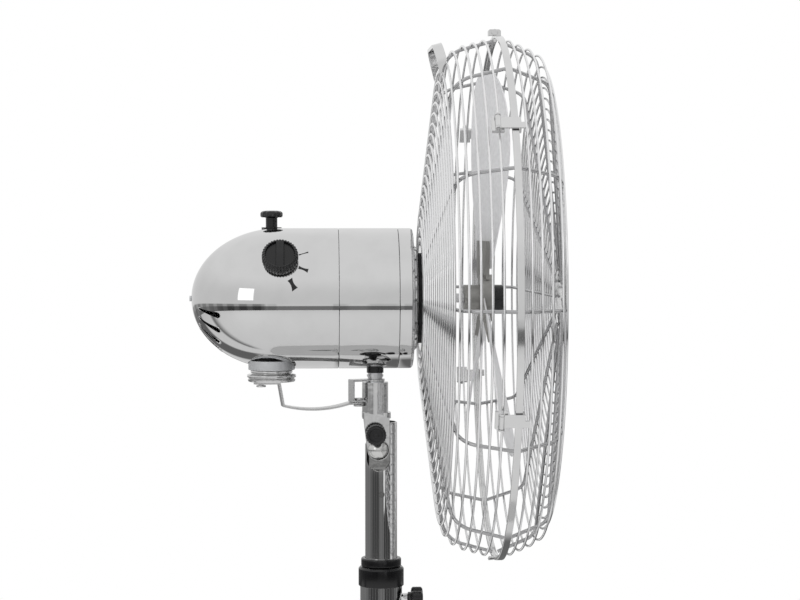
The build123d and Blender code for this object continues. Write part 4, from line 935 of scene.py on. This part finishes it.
def drill(radius: float, low: float, high: float, frame: Matrix, steps: int = HOLE_STEPS) -> Shape:
    """A round tool that cuts a hole.

    Args:
        radius: of the hole.
        low: where the tool starts on the frame's Z axis.
        high: where it ends.
        frame: where it goes.
        steps: facets round the axis.

    Returns:
        The tool.
    """
    return Shape().turned([(0, low), (radius, low), (radius, high), (0, high)], frame, steps)


def as_object(mesh: bmesh.types.BMesh, name: str) -> bpy.types.Object:
    """Turns a bmesh, in metres, into an object at the origin.

    Args:
        mesh: the bmesh, which is freed.
        name: the object's name.

    Returns:
        The object.
    """
    bmesh.ops.remove_doubles(mesh, verts=mesh.verts, dist=MERGE_M)
    bmesh.ops.recalc_face_normals(mesh, faces=mesh.faces)
    for face in mesh.faces:
        face.smooth = True
    for edge in mesh.edges:
        edge.smooth = len(edge.link_faces) != 2 or edge.calc_face_angle() < math.radians(SHARP_DEG)
    piece = meshed(name, mesh)
    mesh.free()
    return piece


def adopt(
    piece: bpy.types.Object, material: bpy.types.Material, body: str, slot: str, *replaces: str,
) -> None:
    """Gives a piece its material and its place in the frame.

    Args:
        piece: the object.
        material: its finish, as a material.
        body: the body that it rides on.
        slot: its material slot in the record; not used.
        replaces: CAD nodes that it stands for.
    """
    piece.data.materials.clear()
    piece.data.materials.append(material)
    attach(piece, body)
    if replaces:
        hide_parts(*replaces)
    log.info("%s: %d faces, %s, on %s", piece.name, len(piece.data.polygons), material.name, body)


@dataclass(frozen=True)
class SoftEdges:
    """A CAD node shown in its own finish with its edges rounded."""

    node: str
    name: str
    body: str
    slot: str
    width: float = 0.3
    segments: int = 2

    def build(self, nodes: dict[str, bpy.types.Object]) -> None:
        """Merges a copy of the node's mesh and rounds its edges.

        Args:
            nodes: the frame's nodes by name.
        """
        mesh, source = bmesh.new(), nodes[self.node].data
        mesh.from_mesh(source)
        bmesh.ops.remove_doubles(mesh, verts=mesh.verts, dist=MERGE_CAD_M)
        bmesh.ops.dissolve_limit(
            mesh, angle_limit=math.radians(0.5), verts=mesh.verts, edges=mesh.edges,
            use_dissolve_boundaries=False,
        )
        for part in (*mesh.faces, *mesh.edges):
            part.smooth = True
        piece = meshed(self.name, mesh)
        mesh.free()
        bent = piece.data.attributes.get("custom_normal")
        if bent is not None:
            piece.data.attributes.remove(bent)
        bevel = piece.modifiers.new("edges", "BEVEL")
        bevel.width = self.width * MM
        bevel.segments = self.segments
        bevel.limit_method = "ANGLE"
        bevel.angle_limit = math.radians(SOFT_DEG)
        bevel.harden_normals = True
        adopt(piece, source.materials[0], self.body, self.slot, self.node)


@dataclass(frozen=True)
class Knob:
    """A moulded knob: a disc with ridges round its edge, and what stands on its axis."""

    name: str
    node: str
    body: str
    radius: float
    ridges: int
    depth: float
    facets: int
    sharpness: float
    levels: tuple[Point, ...]
    rods: tuple[tuple[float, ...], ...]
    blocks: tuple[tuple[Corner, Corner, float], ...] = ()
    stem: tuple[Corner, ...] = ()

    def build(self, frame: Matrix) -> None:
        """Builds the knob about a frame's Z axis.

        Each rod is given as (radius, start, end, fillet), and sometimes its facets.

        Args:
            frame: where it goes.
        """
        shape = Shape().ridged(
            self.radius, self.levels, self.ridges, self.depth, self.facets, self.sharpness, frame
        )
        if self.stem:
            shape.turned(rounded(self.stem), frame, HOLE_STEPS)
        for low, high, fillet in self.blocks:
            shape.block(low, high, frame, fillet)
        for radius, start, end, *rest in self.rods:
            shape.rod(radius, start, end, frame, *rest)
        shape.done(self.name, BLACK_PLASTIC, self.body, "black_plastic", self.node)


@dataclass
class Stand:
    """Base, outer pole, its foot, the collar and the height knob."""

    base_radius: float = 200.0
    base_wall: float = 1.5
    base_low: float = 2.0
    base_lip: float = 9.0
    lip_bend: float = 1.5
    crown_steps: int = 28
    top_radius: float = 36.0
    top_height: float = 38.0
    seat: float = 0.02
    bolt_bore: float = 5.1
    pole_radius: float = 18.4
    pole_bore: float = 16.9
    collar_top: float = -236.2
    pole_sunk: float = 3.0
    knob_level: float = -267.9
    boss_reach: float = 23.2
    knob_gap: float = 0.35
    flare: tuple[Corner, ...] = (
        (18.5, 0, 0), (34.0, 0, 0.4), (34.0, 2.5, 1.0), (25.5, 7, 4.0), (21.5, 14, 6.0), (21.5, 26.0, 0.9),
        (18.5, 26.0, 0),
    )
    boss: tuple[Corner, ...] = ((3.2, 17.4, 0), (7.5, 17.4, 0), (7.5, 23.2, 0.8), (3.2, 23.2, 0))
    collar_ring: tuple[Corner, ...] = (
        (18.5, -16.7, 0), (19.9, -16.7, 0.9), (19.9, -1.6, 0.8), (18.5, 0, 0.5), (16.9, 0, 0),
        (16.9, -2.9, 0), (18.5, -2.9, 0),
    )
    cap_ring: tuple[Corner, ...] = (
        (14.35, 0.02, 0), (16.9, 0.02, 0.2), (17.6, 1.42, 0.7), (17.6, 7.8, 1.4), (14.35, 7.8, 0),
    )
    knob: Knob = Knob(
        "height_knob_fluted", "height_knob", "height_knob", 13.0, 8, 1.6, 12, 1.6,
        ((3.0, 1.4), (4.2, 0.0), (11.4, 0.0), (12.6, 1.2), (13.0, 3.2)),
        ((8.5, 0.0, 3.2, 0.5), (4.2, 12.0, 12.98, 0.2), (3.0, -8.8, 1.0, 0.3)),
    )

    def _dome(self, inset: float) -> list[Point]:
        """Points of the spun crown, from its rim to its flat top.

        Args:
            inset: how far inside the outer skin.

        Returns:
            (radius, height) points, in heights from the fan axis.
        """
        radius, top = self.base_radius - inset, self.top_height - inset
        low = self.base_low + self.base_lip - inset
        run, rise = radius - self.top_radius, top - low
        curve = (run * run + rise * rise) / (2 * rise)
        points = [(radius, self.base_low), (radius, low - self.lip_bend)]
        span = math.asin(run / curve)
        for k in range(self.crown_steps + 1):
            turn = span * (1 - k / self.crown_steps)
            points.append((self.top_radius + curve * math.sin(turn), top - curve * (1 - math.cos(turn))))
        points.append((self.bolt_bore, top))
        return [(across, along - AXIS_HEIGHT) for across, along in points]

    def base(self) -> None:
        """Mirror dome over the weight, hollow below."""
        outline = [*self._dome(0.0), *reversed(self._dome(self.base_wall))]
        shape = Shape().turned(outline, steps=SPUN_STEPS, closed=True)
        shape.done("base_dome", SHEET_CHROME, "stand", "polished_chrome", "base_cover")

    def flange(self) -> None:
        """Flared escutcheon round the foot of the pole."""
        corners = raised(self.flare, self.top_height + self.seat)
        outline = [(across, along - AXIS_HEIGHT) for across, along in rounded(corners, 6)]
        shape = Shape().turned(outline, closed=True)
        shape.done("pole_foot_flare", CHROME, "stand", "polished_chrome", "pole_flange")

    def pole(self) -> None:
        """Outer pole with the threaded boss of the height knob."""
        low, high = self.top_height + self.seat - AXIS_HEIGHT, self.collar_top - self.pole_sunk
        outer, inner = self.pole_radius, self.pole_bore
        outline = [(inner, low), (outer, low), (outer, high), (inner, high)]
        shape = Shape().turned(outline, steps=TUBE_STEPS, closed=True)
        shape.turned(rounded(self.boss), along_x(z=self.knob_level), ROD_STEPS, closed=True)
        shape.done("pole_tube_outer", CHROME, "stand", "polished_chrome", "outer_pole")

    def collar(self) -> None:
        """Two black rings at the joint of the poles, with soft edges."""
        shape = Shape()
        for ring in (self.collar_ring, self.cap_ring):
            shape.turned(rounded(raised(ring, self.collar_top)), closed=True)
        shape.done("pole_collar", GLOSS_BLACK, "stand", "black_plastic", "height_collar")

    def build(self) -> None:
        """Builds the whole stand."""
        self.base()
        self.flange()
        self.pole()
        self.collar()
        self.knob.build(along_x(self.boss_reach + self.knob_gap, 0.0, self.knob_level))


@dataclass
class Mast:
    """Inner pole with the recess for the tilt joint."""

    radius: float = 14.0
    bore: float = 12.75
    length: float = 600.0
    lip: float = 0.3
    top_drop: float = 108.5
    rear_drop: float = 127.5
    recess_half: float = 10.15
    recess_drop: float = 151.0
    pivot_x: float = -2.6
    pin_drop: float = 171.0
    pin_radius: float = 2.6
    clear: float = 20.0
    over: Point = (5.0, 6.0)

    def build(self) -> None:
        """Builds the inner pole."""
        low, high, clear = -self.top_drop - self.length, -self.top_drop, self.clear
        corners = (
            (self.bore, low, 0), (self.radius, low, self.lip), (self.radius, high, self.lip),
            (self.bore, high, 0),
        )
        tube = Shape().turned(rounded(corners, 2), steps=TUBE_STEPS, closed=True)
        middle = -self.recess_drop + self.recess_half
        left, right = self.pivot_x - self.recess_half, self.pivot_x + self.recess_half
        tube.carve(
            drill(self.recess_half, -clear, clear, towards_viewer(self.pivot_x, 0, middle)),
            Shape().block((left, -clear, middle), (right, clear, high + self.over[0])),
            Shape().block((-clear, -clear, -self.rear_drop), (self.pivot_x, clear, high + self.over[1])),
            drill(self.pin_radius, -clear, clear, towards_viewer(0, 0, -self.pin_drop), 24),
        )
        tube.done("pole_tube_inner", CHROME, "mast", "polished_chrome", "inner_pole")


@dataclass
class Housing:
    """The bullet-shaped motor housing in three spun parts."""

    radius: float = 61.25
    wall: float = 1.2
    tail_x: float = -165.4
    dome_length: float = 77.0
    dome_steps: int = 40
    rear_seam_x: float = -37.6
    seam_gap: float = 0.3
    seam_lip: float = 0.35
    front_seam_x: float = 14.0
    bell: tuple[Corner, ...] = (
        (8.0, 18.3, 0), (55.25, 18.3, 0), (55.25, 14.3, 0), (61.25, 14.3, 0.35), (61.25, 27.2, 3.0),
        (47.0, 27.2, 2.2), (44.0, 31.0, 0.8), (16.0, 31.0, 0.5),
    )
    nose_radius: float = 16.0
    nose_end: tuple[Point, ...] = ((15.7, 44.7), (14.9, 45.5), (8.0, 45.5))
    thread_start: float = 31.4
    thread_pitch: float = 13.1 / 7
    thread_turns: int = 7
    thread_depth: float = 0.8
    spindle_x: float = -95.6
    pull_y: float = 12.0
    pull_hole: float = 6.3
    crank_y: float = -14.0
    crank_hole: float = 20.5
    neck_x: float = -5.2
    neck_hole: float = 7.6
    dial_hole: float = 4.0
    tail_hole: float = 1.5
    cut: Point = (30.0, 80.0)
    dial_cut: Point = (50.0, 72.0)
    tail_cut: Point = (-180.0, -150.0)
    louvre_cut: Point = (12.0, 72.0)
    louvre_count: int = 9
    louvre_pitch_deg: float = 18.5
    louvre_steps: int = 10
    louvre_ends: tuple[Point, Point] = ((-141.5, 2.6), (-157.0, 0.8))
    lip_spread: float = 0.30
    lip_radius: float = 0.34
    lip_sunk: float = 0.02
    dial_x: float = -87.6
    dial_lift_deg: float = 34.4

    def _bullet(self, inset: float) -> list[Point]:
        """Outline of the domed shell from its tail to the rear seam.

        Args:
            inset: how far inside the outer skin.

        Returns:
            (radius, x) points.
        """
        front = self.tail_x + self.dome_length
        radius, length = self.radius - inset, self.dome_length - inset
        turns = [math.pi / 2 * k / self.dome_steps for k in range(self.dome_steps + 1)]
        return [(radius * math.sin(turn), front - length * math.cos(turn)) for turn in turns]

    def dial_frame(self) -> Matrix:
        """Frame whose Z axis leaves the housing at the speed dial."""
        turn = Matrix.Rotation(math.radians(90 - self.dial_lift_deg), 4, "X")
        return Matrix.Translation((self.dial_x, 0, 0)) @ turn

    def louvre_outline(self, spread: float = 0.0) -> list[Point]:
        """Teardrop outline of a louvre, round at both ends.

        Args:
            spread: how far outside the opening.

        Returns:
            (x, y) points.
        """
        (head_x, head_radius), (tail_x, tail_radius) = self.louvre_ends
        lean = math.asin((head_radius - tail_radius) / (head_x - tail_x))
        points = []
        for x, radius, start, sweep in (
            (head_x, head_radius, -math.pi / 2 - lean, math.pi + 2 * lean),
            (tail_x, tail_radius, math.pi / 2 + lean, math.pi - 2 * lean),
        ):
            for k in range(self.louvre_steps + 1):
                turn = start + sweep * k / self.louvre_steps
                points.append((x + (radius + spread) * math.cos(turn), (radius + spread) * math.sin(turn)))
        return points

    def _louvre_turns(self) -> list[Matrix]:
        """The turn of each louvre about the fan axis."""
        middle = (self.louvre_count - 1) / 2
        return [
            Matrix.Rotation(math.pi + math.radians((k - middle) * self.louvre_pitch_deg), 4, "X")
            for k in range(self.louvre_count)
        ]

    def _louvre_tool(self, turn: Matrix) -> Shape:
        """Teardrop prism that cuts one louvre."""
        tool = Shape()
        low, high = self.louvre_cut
        verts = [tool.mesh.verts.new((x, y, low)) for x, y in self.louvre_outline()]
        face = tool.mesh.faces.new(verts)
        grown = bmesh.ops.extrude_face_region(tool.mesh, geom=[face], use_keep_orig=True)
        top = [item for item in grown["geom"] if isinstance(item, bmesh.types.BMVert)]
        bmesh.ops.translate(tool.mesh, verts=top, vec=(0, 0, high - low))
        bmesh.ops.transform(tool.mesh, matrix=turn, verts=tool.mesh.verts)
        return tool

    def skin_height(self, x: float) -> float:
        """Radius of the housing's skin at a place on its dome."""
        share = (x - self.tail_x - self.dome_length) / self.dome_length
        return self.radius * math.sqrt(max(0.0, 1 - share**2))

    def rear(self) -> None:
        """Domed rear shell with its louvres and holes."""
        inner = self.radius - self.wall
        seam = rounded(
            ((self.radius, self.rear_seam_x - 6, 0), (self.radius, self.rear_seam_x, self.seam_lip),
             (inner, self.rear_seam_x, 0)), 4,
        )
        outline = [*self._bullet(0.0), *seam, *reversed(self._bullet(self.wall))]
        shell = Shape().turned(outline, along_x(), SPUN_STEPS)
        near, far = self.cut
        shell.carve(
            drill(self.pull_hole, near, far, upright(self.spindle_x, self.pull_y)),
            drill(self.crank_hole, -far, -near, upright(self.spindle_x, self.crank_y)),
            drill(self.dial_hole, *self.dial_cut, self.dial_frame()),
            drill(self.tail_hole, *self.tail_cut, along_x()),
            *(self._louvre_tool(turn) for turn in self._louvre_turns()),
        )
        shell.done("housing_dome", SHEET_CHROME, "head", "polished_chrome", "rear_housing")

    def louvre_lips(self) -> None:
        """Raised rolled edge round each louvre."""
        lips = Shape()
        for turn in self._louvre_turns():
            points = []
            for x, y in self.louvre_outline(self.lip_spread):
                height = math.sqrt(max(1.0, self.skin_height(x) ** 2 - y * y)) - self.lip_sunk
                points.append(turn @ Vector((x, y, height)))
            lips.piped(points, self.lip_radius)
        lips.done("louvre_lips", SHEET_CHROME, "head", "polished_chrome")

    def middle(self) -> None:
        """Straight middle shell between the seams."""
        low, high, inner = self.rear_seam_x + self.seam_gap, self.front_seam_x, self.radius - self.wall
        corners = (
            (inner, low, 0), (self.radius, low, self.seam_lip), (self.radius, high, self.seam_lip),
            (inner, high, 0),
        )
        shell = Shape().turned(rounded(corners, 4), along_x(), SPUN_STEPS, closed=True)
        near, far = self.cut
        shell.carve(drill(self.neck_hole, -far, -near, upright(self.neck_x)))
        shell.done("housing_barrel", SHEET_CHROME, "head", "polished_chrome", "middle_housing")

    def front(self) -> None:
        """Front end bell with its boss and the threaded nose."""
        outline = rounded(self.bell, 6)
        for k in range(self.thread_turns):
            crest = self.thread_start + self.thread_pitch * k
            root = crest + self.thread_pitch / 2
            outline += [(self.nose_radius, crest), (self.nose_radius - self.thread_depth, root)]
        shape = Shape().turned([*outline, *self.nose_end], along_x(), SPUN_STEPS, closed=True)
        shape.done("housing_front_bell", SHEET_CHROME, "head", "polished_chrome", "front_cover")

    def build(self) -> None:
        """Builds the housing."""
        self.rear()
        self.louvre_lips()
        self.middle()
        self.front()


@dataclass
class SpeedControl:
    """Knurled speed dial and its three wedge marks on the housing."""

    housing: Housing
    skirt_gap: float = 0.7
    dial: Knob = Knob(
        "dial_knob", "speed_dial", "dial", 15.5, 36, 0.75, 8, 0.8,
        (
            (0.0, 0.3), (0.8, 0.0), (8.6, 0.0), (9.8, 0.55), (10.5, 1.3), (10.8, 2.0), (10.6, 2.5),
            (8.4, 2.9),
        ),
        ((3.0, -15.0, 0.5, 0.4),),
        (((-3.5, -13.4, 7.9), (3.5, 13.4, 10.8), 0.9), ((-0.7, 6.0, 10.5), (0.7, 12.6, 10.82), 0.12)),
    )
    marks: tuple[Point, ...] = ((17.0, 0.55), (-19.0, 1.25), (-60.0, 2.3))
    mark_start: float = 16.6
    mark_end: float = 25.0
    mark_lift: float = 0.05
    mark_wall: float = 0.12
    mark_waist: Corner = (0.62, 0.5, 0.9)

    def scale(self) -> None:
        """Three waisted wedges printed on the housing, thin, medium and thick."""
        shape, lift = Shape(), math.radians(self.housing.dial_lift_deg)
        skin = self.housing.radius
        outside = skin + self.mark_lift
        thin, flare, middle = self.mark_waist
        for angle_deg, half_width in self.marks:
            before = set(shape.mesh.verts)
            bmesh.ops.create_grid(shape.mesh, x_segments=10, y_segments=2, size=1.0)
            new = {vert for vert in shape.mesh.verts if vert not in before}
            turn = math.radians(angle_deg)
            for vert in new:
                share = (vert.co.x + 1) / 2
                reach = self.mark_start + (self.mark_end - self.mark_start) * share
                aside = vert.co.y * half_width * (thin + flare * (2 * share - middle) ** 2)
                along = reach * math.cos(turn) - aside * math.sin(turn)
                rise = (reach * math.sin(turn) + aside * math.cos(turn)) / math.cos(lift)
                at = lift + rise / skin
                vert.co = (self.housing.dial_x + along, -outside * math.cos(at), outside * math.sin(at))
            faces = [face for face in shape.mesh.faces if face.verts[0] in new]
            bmesh.ops.solidify(shape.mesh, geom=faces, thickness=self.mark_wall)
        shape.done("dial_marks", GLOSS_BLACK, "head", "black_plastic")

    def build(self) -> None:
        """Builds the dial and its marks."""
        self.dial.build(self.housing.dial_frame() @ upright(z=self.housing.radius + self.skirt_gap))
        self.scale()


@dataclass
class PullControl:
    """Oscillation pull knob: scalloped cap, waisted stem and rod."""

    place: Point = (-95.6, 12.0)
    knob: Knob = Knob(
        "oscillation_knob", "pull_knob", "pull_knob", 9.8, 10, 0.7, 12, 1.3,
        ((70.5, 1.2), (71.4, 0.1), (74.0, 0.0), (75.2, 0.7), (76.0, 2.2), (76.4, 5.0)),
        ((1.5, 12.85, 45.75, 0.2, 24),),
        stem=((0, 45.25, 0), (5.1, 45.25, 0.3), (5.1, 70.0, 0.3), (6.5, 70.8, 0.3), (0, 70.8, 0)),
    )

    def build(self) -> None:
        """Builds the knob."""
        self.knob.build(upright(*self.place))


@dataclass
class TiltJoint:
    """Clamp knob of the tilt: fine flutes, a dished face and its screw."""

    pivot_x: float = -2.6
    pivot_drop: float = 132.1
    clamp_radius: float = 14.45
    clamp_angle_deg: float = 100.4
    knob: Knob = Knob(
        "tilt_clamp_knob", "tilt_knob", "tilt_knob", 9.1, 24, 0.55, 8, 0.9,
        ((17.6, 0.9), (18.4, 0.0), (26.2, 0.0), (27.1, 0.7), (27.6, 1.7), (27.3, 2.6), (26.5, 3.4)),
        ((4.6, 11.0, 18.6, 0.5), (2.2, 25.6, 27.2, 0.5), (2.5, -16.15, 18.6, 0.4, 32)),
        (((-4.2, -4.2, -14.65), (4.2, 4.2, -10.67), 0.4),),
    )

    def build(self) -> None:
        """Builds the knob beside the pivot."""
        turn = math.radians(self.clamp_angle_deg)
        x = self.pivot_x + self.clamp_radius * math.cos(turn)
        self.knob.build(towards_viewer(x, 0, -self.pivot_drop + self.clamp_radius * math.sin(turn)))


@dataclass
class Oscillator:
    """Crank bell below the gearbox."""

    x: float = -95.6
    y: float = -14.0
    top: float = -61.35
    bell: tuple[Corner, ...] = (
        (0, 0, 0), (18.2, 0, 0.7), (18.2, -2.2, 0.7), (16.6, -3.0, 0.4), (21.2, -4.0, 0.7),
        (21.2, -6.2, 0.7), (19.2, -7.0, 0.4), (20.6, -7.8, 0.5), (20.3, -10.0, 0.9), (0, -10.0, 0),
    )
    shaft_radius: float = 4.0
    shaft_high: float = -32.5
    pin_radius: float = 2.5
    pin_circle: float = 10.0
    pin_angle_deg: float = -154.4
    pin_low: float = -76.0
    pin_high: float = -70.35
    head_radius: float = 4.2
    head_height: float = 1.6
    head_fillet: float = 0.7
    overlap: float = 1.0

    def build(self) -> None:
        """Builds the bell, its shaft and its pin."""
        frame = upright(self.x, self.y)
        shape = Shape().turned(rounded(raised(self.bell, self.top)), frame)
        shape.rod(self.shaft_radius, self.top - self.overlap, self.shaft_high, frame)
        turn = math.radians(self.pin_angle_deg)
        pin = upright(self.x + self.pin_circle * math.cos(turn), self.y + self.pin_circle * math.sin(turn))
        shape.rod(self.pin_radius, self.pin_low, self.pin_high, pin)
        shape.rod(self.head_radius, self.pin_low, self.pin_low + self.head_height, pin, self.head_fillet)
        shape.done("crank_bell_turned", SHEET_CHROME, "crank", "polished_chrome", "crank_bell")


SOFT_PIECES: tuple[SoftEdges, ...] = (
    SoftEdges("tilt_bracket", "bracket_casting", "bracket", "polished_chrome", 0.7, 3),
    SoftEdges("pole_tang", "tang_casting", "mast", "polished_chrome", 0.5),
    SoftEdges("swing_ear", "ear_strip", "bracket", "bright_steel"),
    SoftEdges("swing_link", "link_strip", "link", "bright_steel"),
    SoftEdges("carry_handle", "handle_strap", "head", "polished_chrome", 0.6, 3),
    SoftEdges("rim_band", "rim_clamp_band", "head", "polished_chrome", 0.4),
    SoftEdges("rim_clamp", "rim_clamp_lugs", "head", "bright_steel"),
    SoftEdges("latch_hinges", "latch_brackets", "head", "bright_steel"),
    *(
        SoftEdges(latch, f"latch_clip_{number}", f"latch_{number}", "bright_steel")
        for number, latch in enumerate(LATCHES, start=1)
    ),
    SoftEdges("blade_hub", "hub_spider", "rotor", "hub_metal", 0.5),
    SoftEdges("fan_blades", "blade_petals", "rotor", "blade_aluminium", 0.25),
    SoftEdges("guard_nut", "guard_ring_nut", "head", "black_plastic", 0.5),
    SoftEdges("front_disc", "guard_centre_disc", "head", "polished_chrome"),
    SoftEdges("neck_stub", "neck_casting", "head", "black_plastic", 0.4),
)


def dress_nodes(nodes: dict[str, bpy.types.Object]) -> None:
    """Gives every CAD node its finish.

    Args:
        nodes: the frame's nodes by name.
    """
    for finish, names in NODE_FINISHES.items():
        for name in names:
            data = nodes[name].data
            data.materials.clear()
            data.materials.append(finish.material())
        log.info("finish %s on %d nodes", finish.name, len(names))


def main() -> None:
    """Builds the fan's looks in order."""
    logging.basicConfig(level=logging.INFO, format="%(name)s: %(message)s")
    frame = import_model()
    dress_nodes(frame["nodes"])
    Camera().build()
    housing = Housing()
    controls = SpeedControl(housing), PullControl(), TiltJoint(), Oscillator()
    for assembly in (Stand(), Mast(), housing, *controls):
        assembly.build()
    for soft in SOFT_PIECES:
        soft.build(frame["nodes"])
    Studio().build()
    scene = bpy.context.scene
    scene.view_settings.view_transform = "Standard"


if __name__ == "__main__":
    main()
